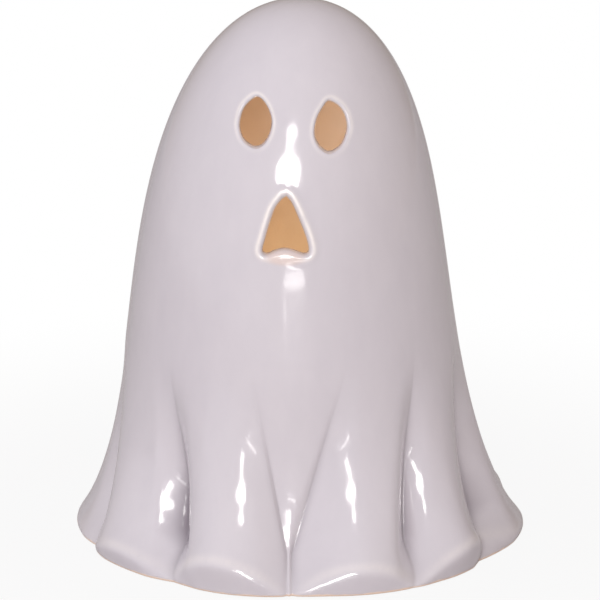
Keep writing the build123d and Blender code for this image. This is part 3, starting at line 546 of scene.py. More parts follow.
def buildGhostShell():
    glaze, clay, inner = 0, 1, 2
    mesh = bmesh.new()
    # layers for glaze thinning with painted highlight, and for painted shade
    thinAndHighlight = mesh.verts.layers.float.new("thinGlazeAndHighlight")
    shadeLayer = mesh.verts.layers.float.new("paintedShade")
    stations = lobeStations(shellGrid["fineColumns"])
    height = ghostForm["height"]
    heights = [shellGrid["hemStart"] + shellGrid["hemStep"] * k for k in range(shellGrid["hemRows"])]
    heights += [heights[-1] + shellGrid["drapeStep"] * (k + 1) for k in range(shellGrid["drapeRows"])]
    crownRows = shellGrid["crownRows"]
    heights += [crownRow(heights[-1], height, k, crownRows) for k in range(1, crownRows)]
    rings = [drapeRing(mesh, level, 0, stations) for level in heights]
    for level, ring in zip(heights, rings):
        for vert, (number, station) in zip(ring, stations):
            vert[thinAndHighlight], vert[shadeLayer] = highlightAndShade(number, station, level)
    openings = {}
    margin = (rimForm["profile"][0][0] + shellGrid["outerMargin"]) * mm
    for name, points in faceOpenings.items():
        outline = closedOutline(points)
        lowered = [(x, z - beadDrop.get(name, {}).get(k, 0)) for k, (x, z) in enumerate(points)]
        beadLine = closedOutline(lowered)
        centre = sum(outline, Vector((0, 0))) / len(outline)
        openings[name] = (outline, beadLine, centre, cutWindow(rings, heights, beadLine, centre, margin))
    skinRows(mesh, rings, [opening[-1] for opening in openings.values()], glaze)
    capRing(mesh, rings[-1], (leanAt(height), 0, height), glaze)
    print("outer drape:", len(heights), "rows of", len(rings[0]))

    innerStations = lobeStations(1)
    wall = ghostForm["wall"]
    innerTop = height - wall
    innerStart = ghostForm["floorTop"] + ghostForm["floorCove"]
    innerRows = shellGrid["innerRows"]
    innerHeights = [crownRow(innerStart, innerTop, k, innerRows) for k in range(innerRows)]
    innerRings = [drapeRing(mesh, level, wall, innerStations) for level in innerHeights]
    innerWindows = {}
    for name, (outline, beadLine, centre, window) in openings.items():
        innerWindows[name] = cutWindow(innerRings, innerHeights, outline, centre, shellGrid["innerMargin"])
    skinRows(mesh, innerRings, innerWindows.values(), inner, inward=True)
    capRing(mesh, innerRings[-1][::-1], (leanAt(innerTop), 0, innerTop), inner)

    for name, (outline, beadLine, centre, window) in openings.items():
        corners = [rings[row][column] for row, column in windowLoop(*window)]
        loops = rimLoops(mesh, name, corners, outline, beadLine, centre, thinAndHighlight)
        for outerLoop, innerLoop in zip(loops, loops[1:]):
            skinBetween(mesh, outerLoop, innerLoop, glaze)
        innerCorners = [innerRings[row][column] for row, column in windowLoop(*innerWindows[name])]
        zipLoops(mesh, innerCorners, loops[-1], centre, inner)
        print("opening", name, "rim of", len(corners))

    addFoot(mesh, rings[0], innerRings[0], innerStations, glaze, clay, inner)
    loose = [vert for vert in mesh.verts if not vert.link_faces]
    bmesh.ops.delete(mesh, geom=loose, context="VERTS")
    return finishMesh(mesh, "ghostShell")


shellMesh = buildGhostShell()
ghostShell = newPiece("ghostShell", shellMesh, "ghost")
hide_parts("ghost_shell")
print("ghost shell:", len(shellMesh.polygons), "faces")


# Marks and grips on the underside of the light base

gripForm = {
    "count": 7,
    "pitch": 1.7 * mm,
    "length": 13 * mm,
    "radius": 0.45 * mm,
    "place": (6 * mm, -4 * mm, 1.5 * mm),  # middle of the first rib, on the door's lower face
}


def ribTree():  # a row of half-sunk round ribs
    tree = bpy.data.node_groups.new("gripRibs", "GeometryNodeTree")
    kinds = {"Count": "Int", "Pitch": "Float", "Length": "Float", "Radius": "Float", "Place": "Vector",
             "Material": "Material"}
    for name, kind in kinds.items():
        tree.interface.new_socket(name, in_out="INPUT", socket_type="NodeSocket" + kind)
    tree.interface.new_socket("Geometry", in_out="OUTPUT", socket_type="NodeSocketGeometry")
    given = addNode(tree, "NodeGroupInput").outputs

    def made(kind, **inputs):
        node = addNode(tree, kind)
        setInputs(node, **inputs)
        return node.outputs[0]

    start, stop = (made("ShaderNodeCombineXYZ", Y=mathNode(tree, "MULTIPLY", given["Length"], side))
                   for side in (-0.5, 0.5))
    rib = made("GeometryNodeCurvePrimitiveLine", Start=start, End=stop)
    profile = made("GeometryNodeCurvePrimitiveCircle", Resolution=20, Radius=given["Radius"])
    solid = made("GeometryNodeCurveToMesh", Curve=rib, Profile_Curve=profile, Fill_Caps=True)
    step = made("ShaderNodeCombineXYZ", X=given["Pitch"])
    row = made("GeometryNodeMeshLine", Count=given["Count"], Start_Location=given["Place"], Offset=step)
    spread = made("GeometryNodeInstanceOnPoints", Points=row, Instance=solid)
    real = made("GeometryNodeRealizeInstances", Geometry=spread)
    painted = made("GeometryNodeSetMaterial", Geometry=real, Material=given["Material"])
    link(painted, addNode(tree, "NodeGroupOutput").inputs["Geometry"])
    return tree


def realMesh(holder, name):  # the evaluated shape of an object, as a mesh of its own
    evaluated = holder.evaluated_get(bpy.context.evaluated_depsgraph_get())
    mesh = bpy.data.meshes.new_from_object(evaluated)
    mesh.name = name
    bpy.data.objects.remove(holder)
    return mesh


def buildDoorGrip(material):
    holder = addObject("gripHolder", bpy.data.meshes.new("gripHolder"))
    ribs = holder.modifiers.new("ribs", "NODES")
    ribs.node_group = ribTree()
    values = {"Count": gripForm["count"], "Pitch": gripForm["pitch"], "Length": gripForm["length"],
              "Radius": gripForm["radius"], "Place": gripForm["place"], "Material": material}
    for item in ribs.node_group.interface.items_tree:
        if item.in_out == "INPUT":
            ribs[item.identifier] = values[item.name]
    return realMesh(holder, "doorGrip")


markForm = {
    "letters": 3.4 * mm,
    "relief": 0.12 * mm,
    "face": 1.5 * mm,  # height of the housing's lower face
    "places": {"ON": (-11.5 * mm, 18 * mm), "OFF": (11.5 * mm, 18 * mm)},
}


def buildSwitchMarks():  # raised letters, read from below
    mesh = bmesh.new()
    for word, (across, along) in markForm["places"].items():
        letters = bpy.data.curves.new("letters", "FONT")
        letters.body = word
        letters.size = markForm["letters"]
        letters.extrude = markForm["relief"]
        letters.align_x = "CENTER"
        letters.align_y = "CENTER"
        wordMesh = realMesh(addObject("wordHolder", letters), "word")
        known = len(mesh.verts)
        mesh.from_mesh(wordMesh)
        mesh.verts.ensure_lookup_table()
        for vertex in mesh.verts[known:]:
            place = vertex.co.copy()
            vertex.co = (across + place.x, along - place.y, markForm["face"] - place.z)
        bpy.data.meshes.remove(wordMesh)
    bmesh.ops.remove_doubles(mesh, verts=mesh.verts, dist=1e-7)
    return finishMesh(mesh, "switchMarks")


# Shared effects: each is a shader group placed in several materials with its own values

def newGroup(name, inputs, outputs):  # inputs with their usual values, outputs with their kinds
    tree = bpy.data.node_groups.new(name, "ShaderNodeTree")
    for socket, usual in inputs.items():
        kind = "NodeSocketColor" if isinstance(usual, tuple) else "NodeSocketFloat"
        tree.interface.new_socket(socket, in_out="INPUT", socket_type=kind).default_value = usual
    for socket, kind in outputs.items():
        tree.interface.new_socket(socket, in_out="OUTPUT", socket_type="NodeSocket" + kind)
    return tree, addNode(tree, "NodeGroupInput").outputs, addNode(tree, "NodeGroupOutput").inputs


def mathNode(tree, operation, first, second=None, third=None, clamp=False):
    node = addNode(tree, "ShaderNodeMath", operation=operation, use_clamp=clamp)
    for socket, value in zip(node.inputs, (first, second, third)):
        if value is not None:
            link(value, socket)
    return node.outputs[0]


def vectorNode(tree, operation, first, second=None):
    node = addNode(tree, "ShaderNodeVectorMath", operation=operation)
    link(first, node.inputs[0])
    if second is not None:
        link(second, node.inputs[1])
    return node.outputs["Value" if operation in ("LENGTH", "DOT_PRODUCT") else "Vector"]


def mixColour(tree, factor, first, second):  # colours as seen on screen, or sockets
    node = addNode(tree, "ShaderNodeMix", data_type="RGBA")
    link(factor, node.inputs[0])
    for socket, value in zip(node.inputs[6:8], (first, second)):
        link(colourOf(*value) if isinstance(value, tuple) else value, socket)
    return node.outputs[2]


def mixShader(tree, factor, first, second):
    node = addNode(tree, "ShaderNodeMixShader")
    for socket, value in zip(node.inputs, (factor, first, second)):
        link(value, socket)
    return node.outputs["Shader"]


def rangeNode(tree, value, low, high, start, stop, smooth=True):
    node = addNode(tree, "ShaderNodeMapRange", interpolation_type="SMOOTHSTEP" if smooth else "LINEAR")
    names = ("Value", "From Min", "From Max", "To Min", "To Max")
    for name, source in zip(names, (value, low, high, start, stop)):
        link(source, node.inputs[name])
    return node.outputs["Result"]


def noiseNode(tree, vector, scale, detail=3.0, roughness=0.55):
    node = addNode(tree, "ShaderNodeTexNoise")
    for name, source in zip(("Vector", "Scale", "Detail", "Roughness"), (vector, scale, detail, roughness)):
        link(source, node.inputs[name])
    return node.outputs["Fac"]


def stretchedCoords(tree, scale=(1, 1, 1)):  # object coordinates, drawn out along an axis
    coords = addNode(tree, "ShaderNodeTexCoord")
    mapping = addNode(tree, "ShaderNodeMapping")
    mapping.inputs["Scale"].default_value = scale
    link(coords.outputs["Object"], mapping.inputs["Vector"])
    return mapping.outputs["Vector"]


def objectAxes(tree):
    split = addNode(tree, "ShaderNodeSeparateXYZ")
    link(stretchedCoords(tree), split.inputs["Vector"])
    return split.outputs


def mottleGroup():  # slow drift of colour with a finer cloud on top
    usual = {"Light": (0.8, 0.8, 0.8, 1), "Dark": (0.6, 0.6, 0.6, 1), "Scale": 40.0, "Contrast": 1.0}
    tree, given, leave = newGroup("mottle", usual, {"Colour": "Color"})
    coords = stretchedCoords(tree, (1, 1, 0.45))
    broad = noiseNode(tree, coords, given["Scale"], 2.0, 0.5)
    finer = noiseNode(tree, coords, mathNode(tree, "MULTIPLY", given["Scale"], 6.0), 4.0, 0.6)
    both = mathNode(tree, "MULTIPLY_ADD", finer, 0.4, mathNode(tree, "MULTIPLY", broad, 0.6))
    centred = mathNode(tree, "SUBTRACT", both, 0.5)
    spread = mathNode(tree, "MULTIPLY", centred, mathNode(tree, "MULTIPLY", given["Contrast"], 3.0))
    mask = mathNode(tree, "ADD", spread, 0.5, clamp=True)
    link(mixColour(tree, mask, given["Light"], given["Dark"]), leave["Colour"])
    return tree


def grainGroup():  # fine tooth of a moulded, cast or drawn surface
    usual = {"Scale": 900.0, "Smoothest": 0.3, "Roughest": 0.5}
    tree, given, leave = newGroup("grain", usual, {"Roughness": "Float", "Height": "Float"})
    coords = stretchedCoords(tree)
    fine = noiseNode(tree, coords, given["Scale"], 3.0, 0.6)
    drift = noiseNode(tree, coords, mathNode(tree, "MULTIPLY", given["Scale"], 0.08), 2.0, 0.5)
    tone = mathNode(tree, "MULTIPLY_ADD", fine, 0.35, mathNode(tree, "MULTIPLY", drift, 0.65))
    ends = (given["Smoothest"], given["Roughest"])
    rough = rangeNode(tree, tone, 0.35, 0.65, *ends, smooth=False)
    link(rough, leave["Roughness"])
    link(fine, leave["Height"])
    return tree


def handlingGroup():  # faint rubbed patches and hairline marks from handling
    tree, given, leave = newGroup("handling", {"Scale": 120.0, "Amount": 0.3}, {"Mask": "Float"})
    finer = mathNode(tree, "MULTIPLY", given["Scale"], 2.5)
    patches = noiseNode(tree, stretchedCoords(tree), given["Scale"], 4.0, 0.65)
    lines = noiseNode(tree, stretchedCoords(tree, (14, 1, 1)), finer, 3.0, 0.7)
    rubbed = rangeNode(tree, patches, 0.52, 0.72, 0.0, 1.0)
    scored = rangeNode(tree, lines, 0.66, 0.74, 0.0, 0.8)
    worn = mathNode(tree, "MAXIMUM", rubbed, scored)
    link(mathNode(tree, "MULTIPLY", worn, given["Amount"], clamp=True), leave["Mask"])
    return tree


effects = {"mottle": mottleGroup(), "grain": grainGroup(), "handling": handlingGroup()}


def placeEffect(tree, name, **values):
    node = addNode(tree, "ShaderNodeGroup", node_tree=effects[name])
    setInputs(node, **values)
    return node


def placeBump(tree, shader, height, strength, distance):
    bump = addNode(tree, "ShaderNodeBump")
    setInputs(bump, Strength=strength, Distance=distance, Height=height)
    setInputs(shader, Normal=bump.outputs["Normal"])


def placeMottle(tree, light, dark, scale, contrast=1.0):
    node = placeEffect(tree, "mottle", Light=colourOf(*light), Dark=colourOf(*dark), Scale=scale,
                       Contrast=contrast)
    return node.outputs["Colour"]


def placeGrain(tree, shader, scale, smoothest, roughest, bump=0.0, reach=0.1 * mm):
    grain = placeEffect(tree, "grain", Scale=scale, Smoothest=smoothest, Roughest=roughest).outputs
    setInputs(shader, Roughness=grain["Roughness"])
    if bump > 0:
        placeBump(tree, shader, grain["Height"], bump, reach)
    return grain["Roughness"]


def attributeValue(tree, name):
    return addNode(tree, "ShaderNodeAttribute", attribute_name=name).outputs["Fac"]


# Glazes and clays

glazeFinish = {
    "body": (215, 209, 214),
    "drift": (208, 202, 208),
    "driftSize": 26.0,
    "driftContrast": 0.9,
    "thinAndHighlight": (248, 241, 236),  # glaze thinning over an edge, painted pale as a highlight
    "cloudSize": 420.0,  # breaks up the glaze thinning and painted highlight
    # painted shade in the creases and under the lobes' lips
    "shaded": (150, 141, 149),
    "shadeShare": 0.5,
    "bare": (240, 214, 194),  # clay along the foot
    "bareHeight": 0.7 * mm,
    "bareSoftness": 0.25 * mm,
    "bareRough": 0.6,
    "ragged": 0.6 * mm,
    "raggedSize": 140.0,
    "coat": 0.55,
    "peelSize": 260.0,
    "peelBump": 0.10,
    "peelReach": 0.25 * mm,
    "glow": (226, 202, 190),  # the light inside shows through the thin lower lip of the mouth
    "glowPlace": (-4.3 * mm, -46 * mm, 96.4 * mm),
    "glowReach": (7.5 * mm, 8 * mm, 2.8 * mm),
    "glowShare": 0.6,
}


def glazeMaterial():
    material, tree, shader = newMaterial("lavenderGlaze")
    setInputs(shader, IOR=1.5, Coat_Roughness=0.04, Coat_IOR=1.5)
    coords = stretchedCoords(tree)
    body = placeMottle(tree, glazeFinish["body"], glazeFinish["drift"], glazeFinish["driftSize"],
                       glazeFinish["driftContrast"])
    cloud = noiseNode(tree, coords, glazeFinish["cloudSize"], 3.0, 0.6)
    broken = rangeNode(tree, cloud, 0.2, 0.6, 0.65, 1.0)
    # painted highlight with glaze thinning on the beads and the lobes' lips
    thinAndHighlightMask = mathNode(tree, "MULTIPLY", attributeValue(tree, "thinGlazeAndHighlight"), broken)
    # painted shade: darker in the creases and under the lips
    shadeMask = mathNode(tree, "MULTIPLY", attributeValue(tree, "paintedShade"), glazeFinish["shadeShare"])
    shaded = mixColour(tree, shadeMask, body, glazeFinish["shaded"])
    thinnedAndHighlighted = mixColour(tree, thinAndHighlightMask, shaded, glazeFinish["thinAndHighlight"])
    fromLip = vectorNode(tree, "SUBTRACT", coords, glazeFinish["glowPlace"])
    lipReach = vectorNode(tree, "LENGTH", vectorNode(tree, "DIVIDE", fromLip, glazeFinish["glowReach"]))
    lipMask = rangeNode(tree, lipReach, 0.45, 1.0, glazeFinish["glowShare"], 0.0)
    warmed = mixColour(tree, lipMask, thinnedAndHighlighted, glazeFinish["glow"])
    ragged = glazeFinish["ragged"]
    wander = mathNode(tree, "MULTIPLY_ADD", noiseNode(tree, coords, glazeFinish["raggedSize"]), 2 * ragged,
                      -ragged)
    edge = mathNode(tree, "ADD", objectAxes(tree)["Z"], wander)
    bareHeight = glazeFinish["bareHeight"]
    soft = glazeFinish["bareSoftness"]
    bareMask = rangeNode(tree, edge, bareHeight - soft, bareHeight + soft, 1.0, 0.0)
    colour = mixColour(tree, bareMask, warmed, glazeFinish["bare"])
    rough = placeGrain(tree, shader, 700.0, 0.10, 0.17)
    bareRough = mathNode(tree, "MULTIPLY_ADD", bareMask, glazeFinish["bareRough"], rough)
    coat = mathNode(tree, "MULTIPLY_ADD", bareMask, -glazeFinish["coat"], glazeFinish["coat"])
    setInputs(shader, Base_Color=colour, Roughness=bareRough, Coat_Weight=coat)
    peel = noiseNode(tree, coords, glazeFinish["peelSize"], 2.0, 0.5)
    placeBump(tree, shader, peel, glazeFinish["peelBump"], glazeFinish["peelReach"])
    return material


clayFinish = {"contrast": 1.2, "climb": (70 * mm, 130 * mm), "across": (-14 * mm, 9 * mm)}


def clayMaterial(name, light, dark, scale, upperLeft, upperRight):  # the last two towards the crown
    material, tree, shader = newMaterial(name)
    axes = objectAxes(tree)
    climb = rangeNode(tree, axes["Z"], *clayFinish["climb"], 0.0, 1.0)
    across = rangeNode(tree, axes["X"], *clayFinish["across"], 0.0, 1.0)
    lower = placeMottle(tree, light, dark, scale, clayFinish["contrast"])
    upper = mixColour(tree, across, upperLeft, upperRight)
    link(mixColour(tree, climb, lower, upper), shader.inputs["Base Color"])
    placeGrain(tree, shader, 1500.0, 0.7, 0.92, 0.25, 0.2 * mm)
    return material


shellMesh.materials.append(glazeMaterial())
shellMesh.materials.append(clayMaterial("bareClay", (236, 207, 185), (226, 190, 163), 60.0,
                                        (236, 207, 185), (236, 207, 185)))
# inside the head it turns paler towards the crown; the left being darker than the right is painted shade
# seen through the eyes
shellMesh.materials.append(clayMaterial("innerClay", (222, 206, 186), (214, 194, 170), 30.0,
                                        (230, 213, 201), (249, 241, 240)))


# Plastics, rubber, metal and resin of the light base

plasticFinish = {
    "shader": {"IOR": 1.47},
    "mottle": (45.0, 0.8),
    "handling": (150.0, 0.35),
    "rubbed": -0.2,  # change of roughness where it is handled
    "bumpReach": 0.15 * mm,
}
metalFinish = {
    "shader": {"Metallic": 1.0},
    "mottle": (160.0, 1.0),
    "handling": (400.0, 0.6),
    "rubbed": 0.15,
    "bumpReach": 0.1 * mm,
    "grain": 2600.0,
    "bump": 0.08,
}


def handledMaterial(finish, name, light, dark, smoothest, roughest, grainScale, bump):
    material, tree, shader = newMaterial(name)
    setInputs(shader, **finish["shader"])
    size, amount = finish["handling"]
    mask = placeEffect(tree, "handling", Scale=size, Amount=amount).outputs["Mask"]
    mottle = placeMottle(tree, light, dark, *finish["mottle"])
    link(mixColour(tree, mask, mottle, dark), shader.inputs["Base Color"])
    rough = placeGrain(tree, shader, grainScale, smoothest, roughest, bump, finish["bumpReach"])
    worn = mathNode(tree, "MULTIPLY_ADD", mask, finish["rubbed"], rough)
    link(worn, shader.inputs["Roughness"])
    return material


def mouldedPlastic(name, light, dark, smoothest=0.32, roughest=0.5, grainScale=1400.0, bump=0.12):
    return handledMaterial(plasticFinish, name, light, dark, smoothest, roughest, grainScale, bump)


def wornMetal(name, light, dark, smoothest, roughest):
    return handledMaterial(metalFinish, name, light, dark, smoothest, roughest, metalFinish["grain"],
                           metalFinish["bump"])


def frostedDome():  # matt opal plastic lit from within
    material, tree, shader = newMaterial("frostedDome")
    setInputs(shader, IOR=1.46, Emission_Strength=1.6)
    low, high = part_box("light_dome")
    climb = rangeNode(tree, objectAxes(tree)["Z"], low[2], high[2], 0.0, 1.0)
    glow = mixColour(tree, climb, (255, 190, 120), (255, 224, 178))
    mottle = placeMottle(tree, (250, 236, 214), (244, 226, 198), 60.0, 0.8)
    setInputs(shader, Base_Color=mottle, Emission_Color=glow)
    placeGrain(tree, shader, 1800.0, 0.5, 0.7, 0.2)
    return material


cellFinish = {
    "sleeve": (38, 40, 44),
    "sleeveDark": (28, 30, 34),
    "band": (196, 152, 92),
    "bandShare": 0.3,
    "bandSoftness": 0.004,
    "rubbed": (120, 118, 114),
    "bare": (206, 204, 200),
    "bareEnds": (0.022, 0.955),
}


def cellMaterial(node, flipped):  # printed sleeve with a coloured band at one end and bare steel at both
    material, tree, shader = newMaterial("cellSleeve" + node.split("_")[1].capitalize())
    low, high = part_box(node)
    ends = (1.0, 0.0) if flipped else (0.0, 1.0)
    along = rangeNode(tree, objectAxes(tree)["X"], low[0], high[0], *ends, smooth=False)
    start = 1 - cellFinish["bandShare"]
    soft = cellFinish["bandSoftness"]
    band = rangeNode(tree, along, start - soft, start + soft, 0.0, 1.0)
    near, far = cellFinish["bareEnds"]
    endSteel = mathNode(tree, "MAXIMUM", mathNode(tree, "LESS_THAN", along, near),
                        mathNode(tree, "GREATER_THAN", along, far))
    mottle = placeMottle(tree, cellFinish["sleeve"], cellFinish["sleeveDark"], 120.0)
    handled = placeEffect(tree, "handling", Scale=260.0, Amount=0.4)
    printed = mixColour(tree, band, mottle, cellFinish["band"])
    rubbed = mixColour(tree, handled.outputs["Mask"], printed, cellFinish["rubbed"])
    colour = mixColour(tree, endSteel, rubbed, cellFinish["bare"])
    setInputs(shader, Base_Color=colour, Metallic=endSteel)
    placeGrain(tree, shader, 1200.0, 0.26, 0.38, 0.05)
    return material


def ledResin():
    material, tree, shader = newMaterial("ledResin")
    setInputs(shader, IOR=1.5, Emission_Strength=2.0)
    mottle = placeMottle(tree, (255, 236, 190), (250, 218, 160), 300.0, 0.8)
    setInputs(shader, Base_Color=mottle, Emission_Color=mottle)
    placeGrain(tree, shader, 900.0, 0.12, 0.2)
    return material


def boardMaterial():  # green lacquer over a faint weave, with tinned tracks
    material, tree, shader = newMaterial("boardLacquer")
    weave = addNode(tree, "ShaderNodeTexWave", wave_type="BANDS", bands_direction="DIAGONAL")
    setInputs(weave, Scale=420.0, Distortion=2.0)
    link(stretchedCoords(tree), weave.inputs["Vector"])
    streaks = noiseNode(tree, stretchedCoords(tree, (1, 6, 1)), 160.0, 0.0, 0.0)
    tracks = rangeNode(tree, streaks, 0.56, 0.58, 0.0, 1.0)
    mottle = placeMottle(tree, (34, 104, 62), (26, 86, 50), 200.0)
    link(mixColour(tree, tracks, mottle, (66, 138, 84)), shader.inputs["Base Color"])
    placeGrain(tree, shader, 1500.0, 0.22, 0.34)
    relief = mathNode(tree, "MULTIPLY_ADD", tracks, 0.8, weave.outputs["Fac"])
    placeBump(tree, shader, relief, 0.12, 0.1 * mm)
    return material


resistorFinish = {
    "light": (214, 186, 140),
    "dark": (200, 168, 120),
    "rings": {0.36: (120, 60, 30), 0.46: (20, 20, 20), 0.56: (170, 40, 30), 0.68: (190, 150, 60)},
    "ringEdge": (0.022, 0.03),
}


def resistorMaterial():  # tan lacquer with coloured rings round its length
    material, tree, shader = newMaterial("resistorLacquer")
    low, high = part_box("resistor")
    longAxis = max(range(3), key=lambda k: high[k] - low[k])
    place = objectAxes(tree)[longAxis]
    along = rangeNode(tree, place, low[longAxis], high[longAxis], 0.0, 1.0, smooth=False)
    colour = placeMottle(tree, resistorFinish["light"], resistorFinish["dark"], 300.0)
    for middle, ring in resistorFinish["rings"].items():
        off = mathNode(tree, "ABSOLUTE", mathNode(tree, "SUBTRACT", along, middle))
        onRing = rangeNode(tree, off, *resistorFinish["ringEdge"], 1.0, 0.0)
        colour = mixColour(tree, onRing, colour, ring)
    link(colour, shader.inputs["Base Color"])
    placeGrain(tree, shader, 1500.0, 0.3, 0.42)
    return material


def dress(material, *nodes):
    for name in nodes:
        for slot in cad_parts[name].material_slots:
            slot.material = material


doorPlastic = mouldedPlastic("doorPlastic", (226, 221, 212), (210, 203, 192), 0.3, 0.46)
dress(mouldedPlastic("ivoryPlastic", (228, 223, 214), (214, 207, 196)), "base_housing")
dress(mouldedPlastic("deckPlastic", (238, 234, 226), (226, 220, 210), 0.38, 0.55), "base_deck")
dress(doorPlastic, "battery_door")
dress(mouldedPlastic("sealSilicone", (150, 148, 146), (132, 130, 128), 0.45, 0.62, 1000.0, 0.18),
      "seal_ring")
dress(mouldedPlastic("padRubber", (62, 60, 60), (48, 46, 46), 0.6, 0.82, 900.0, 0.4), "base_feet")
dress(mouldedPlastic("knobPlastic", (30, 30, 32), (20, 20, 22), 0.35, 0.5), "switch_knob")
dress(mouldedPlastic("switchPlastic", (42, 42, 46), (30, 30, 33), 0.35, 0.5), "slide_switch")
dress(mouldedPlastic("chipResin", (34, 34, 36), (24, 24, 26), 0.5, 0.68, 2200.0, 0.3), "timer_chip")
dress(mouldedPlastic("capacitorSleeve", (40, 52, 110), (28, 38, 86), 0.25, 0.36), "capacitor")
dress(mouldedPlastic("redWireSleeve", (186, 34, 30), (160, 24, 22), 0.32, 0.45),
      "battery_lead_red", "led_lead_red")
dress(mouldedPlastic("blackWireSleeve", (30, 30, 30), (20, 20, 20), 0.32, 0.45),
      "battery_lead_black", "led_lead_black")
dress(wornMetal("screwSteel", (196, 194, 190), (150, 148, 146), 0.2, 0.36), "deck_screws", "door_screw")
dress(wornMetal("contactNickel", (214, 208, 196), (176, 170, 158), 0.18, 0.3),
      "negative_contact", "positive_contact", "bridge_contact")
dress(wornMetal("springSteel", (190, 188, 184), (140, 138, 134), 0.2, 0.34), "contact_springs")
dress(frostedDome(), "light_dome")
dress(ledResin(), "led_lamp")
dress(boardMaterial(), "circuit_board")
dress(resistorMaterial(), "resistor")
dress(cellMaterial("cell_front", False), "cell_front")
dress(cellMaterial("cell_rear", True), "cell_rear")

doorGrip = newPiece("doorGrip", buildDoorGrip(doorPlastic), "battery_door")
roundSides = [len(face.vertices) == 4 for face in doorGrip.data.polygons]
doorGrip.data.polygons.foreach_set("use_smooth", roundSides)
switchMarks = newPiece("switchMarks", buildSwitchMarks(), "light_base")
switchMarks.data.materials.append(mouldedPlastic("markPlastic", (196, 190, 180), (182, 176, 166)))
print("marks and grips added")
print("finishes set on", len(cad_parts), "nodes")


# Camera, floor and light

cameraPlace = {"distance": 0.900, "height": 0.3201, "pitch": 15.47, "lens": 181.25, "sensor": 36}


def addCamera():
    data = bpy.data.cameras.new("photoCamera")
    data.lens = cameraPlace["lens"]
    data.sensor_width = cameraPlace["sensor"]
    camera = addObject("photoCamera", data)
    camera.location = (0, -cameraPlace["distance"], cameraPlace["height"])
    camera.rotation_euler = (math.radians(90 - cameraPlace["pitch"]), 0, 0)
    bpy.context.scene.camera = camera


studio = {
    "floorSize": 6.0,
    "floorDrop": 0.2 * mm,
    "underGlow": (66 * mm, 0.4),  # the floor under the foot glows, so the underside can be seen from below
    "floorColour": (206, 203, 203),
    "floorRoughness": 0.75,
    "seenWhite": (0.08, 0.26, 0.9, 1.0),  # distances where it turns white as seen, and shares
    "mirroredWhite": (3.5, 5.8, 0.0, 0.4),  # the same in reflections, so the floor is mirrored
    "skyFrom": (-44, 34),  # azimuth and elevation of the brightest part of the soft light
    "skySpread": (-0.7, 1.0),
    "skyBright": 0.82,
    "skyDim": 0.32,
    "skyWarm": (255, 236, 220),
    "skyCool": (250, 249, 255),
    "lampColour": (255, 252, 250),
    "lampAim": 0.08,  # height all lamps point at
    "lamps": [
        # name, shape, azimuth, elevation, distance, width, height, watts
        ("frontBox", "ELLIPSE", -4, 20.9, 1.6, 0.56, 0.25, 5.0),
        ("middleBox", "RECTANGLE", -4, 12.2, 1.6, 0.14, 0.23, 1.6),
        ("neckBox", "RECTANGLE", -4, 27, 1.6, 0.17, 0.34, 1.6),
        ("upperBox", "ELLIPSE", -2, 32, 1.6, 0.24, 0.17, 0.9),
        ("lowBox", "ELLIPSE", 2.3, 3.0, 1.6, 0.44, 0.03, 0.35),
        ("tableGleam", "RECTANGLE", -4, 0.9, 1.6, 0.06, 0.03, 0.03),
        ("overBox", "RECTANGLE", -15, 58, 1.7, 1.3, 1.3, 0.5),
    ],
    "glowWatts": 0.036,
    "glowColour": (255, 232, 200),
    "glowHeight": 47 * mm,
    "glowSize": 8 * mm,
}


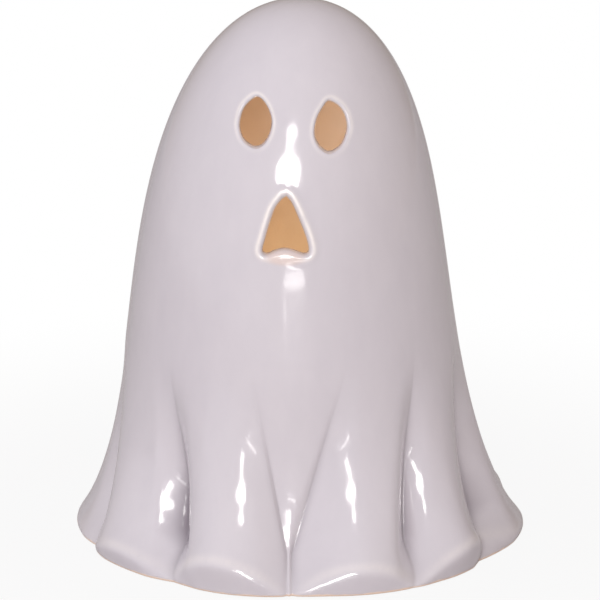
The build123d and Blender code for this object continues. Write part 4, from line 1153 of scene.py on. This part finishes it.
def addFloor():
    size = studio["floorSize"]
    data = bpy.data.meshes.new("floor")
    corners = [(-size, -size), (size, -size), (size, size), (-size, size)]
    data.from_pydata([(x, y, -studio["floorDrop"]) for x, y in corners], [], [(0, 1, 2, 3)])
    floor = addObject("floor", data)
    material, tree, shader = newMaterial("paleFloor")
    setInputs(shader, Base_Color=colourOf(*studio["floorColour"]), Roughness=studio["floorRoughness"],
              Emission_Color=(1, 1, 1, 1))
    coords = addNode(tree, "ShaderNodeTexCoord")
    reach = vectorNode(tree, "LENGTH", coords.outputs["Object"])
    seenAway = rangeNode(tree, reach, *studio["seenWhite"])
    mirroredAway = rangeNode(tree, reach, *studio["mirroredWhite"])
    path = addNode(tree, "ShaderNodeLightPath").outputs
    glowReach, glowStrength = studio["underGlow"]
    covered = mathNode(tree, "LESS_THAN", reach, glowReach)
    unseen = mathNode(tree, "SUBTRACT", covered, path["Is Camera Ray"], clamp=True)
    link(mathNode(tree, "MULTIPLY", unseen, glowStrength), shader.inputs["Emission Strength"])
    mirrored = mathNode(tree, "MAXIMUM", path["Is Glossy Ray"], path["Is Transmission Ray"])
    seen = mathNode(tree, "MULTIPLY", path["Is Camera Ray"], seenAway)
    whiteShare = mathNode(tree, "MULTIPLY_ADD", mirrored, mirroredAway, seen, clamp=True)
    white = addNode(tree, "ShaderNodeEmission").outputs["Emission"]
    plain = mixShader(tree, whiteShare, shader.outputs["BSDF"], white)
    clear = addNode(tree, "ShaderNodeBsdfTransparent").outputs["BSDF"]
    below = addNode(tree, "ShaderNodeNewGeometry").outputs["Backfacing"]
    surface = mixShader(tree, below, plain, clear)
    link(surface, tree.nodes["Material Output"].inputs["Surface"])
    data.materials.append(material)


def towards(azimuth, elevation):
    azimuth = math.radians(azimuth)
    elevation = math.radians(elevation)
    return Vector((math.sin(azimuth) * math.cos(elevation), -math.cos(azimuth) * math.cos(elevation),
                   math.sin(elevation)))


def addLamp(name, shape, azimuth, elevation, distance, width, height, watts):
    data = bpy.data.lights.new(name, "AREA")
    data.shape = shape
    data.size = width
    data.size_y = height
    data.energy = watts
    data.color = colourOf(*studio["lampColour"])[:3]
    aim = towards(azimuth, elevation)
    light = addObject(name, data)
    light.location = Vector((0, 0, studio["lampAim"])) + aim * distance
    light.rotation_euler = aim.to_track_quat("Z", "Y").to_euler()


def addGlow():
    data = bpy.data.lights.new("insideGlow", "POINT")
    data.energy = studio["glowWatts"]
    data.color = colourOf(*studio["glowColour"])[:3]
    data.shadow_soft_size = studio["glowSize"]
    addObject("insideGlow", data).location = (0, 0, studio["glowHeight"])


def addWorld():  # a soft sky, brightest over the viewer's left shoulder
    world = bpy.data.worlds.new("studioWorld")
    bpy.context.scene.world = world
    world.use_nodes = True
    tree = world.node_tree
    background = tree.nodes["Background"]
    coords = addNode(tree, "ShaderNodeTexCoord")
    bright = tuple(towards(*studio["skyFrom"]))
    facing = vectorNode(tree, "DOT_PRODUCT", coords.outputs["Generated"], bright)
    share = rangeNode(tree, facing, *studio["skySpread"], 0.0, 1.0)
    level = rangeNode(tree, share, 0.0, 1.0, studio["skyDim"], studio["skyBright"], smooth=False)
    colour = mixColour(tree, share, studio["skyWarm"], studio["skyCool"])
    setInputs(background, Color=colour, Strength=level)
    path = addNode(tree, "ShaderNodeLightPath")
    white = addNode(tree, "ShaderNodeBackground")
    setInputs(white, Color=(1, 1, 1, 1), Strength=1.0)
    surface = mixShader(tree, path.outputs["Is Camera Ray"], background.outputs["Background"],
                        white.outputs["Background"])
    link(surface, tree.nodes["World Output"].inputs["Surface"])


addCamera()
addFloor()
for lamp in studio["lamps"]:
    addLamp(*lamp)
addGlow()
addWorld()
print("studio set")
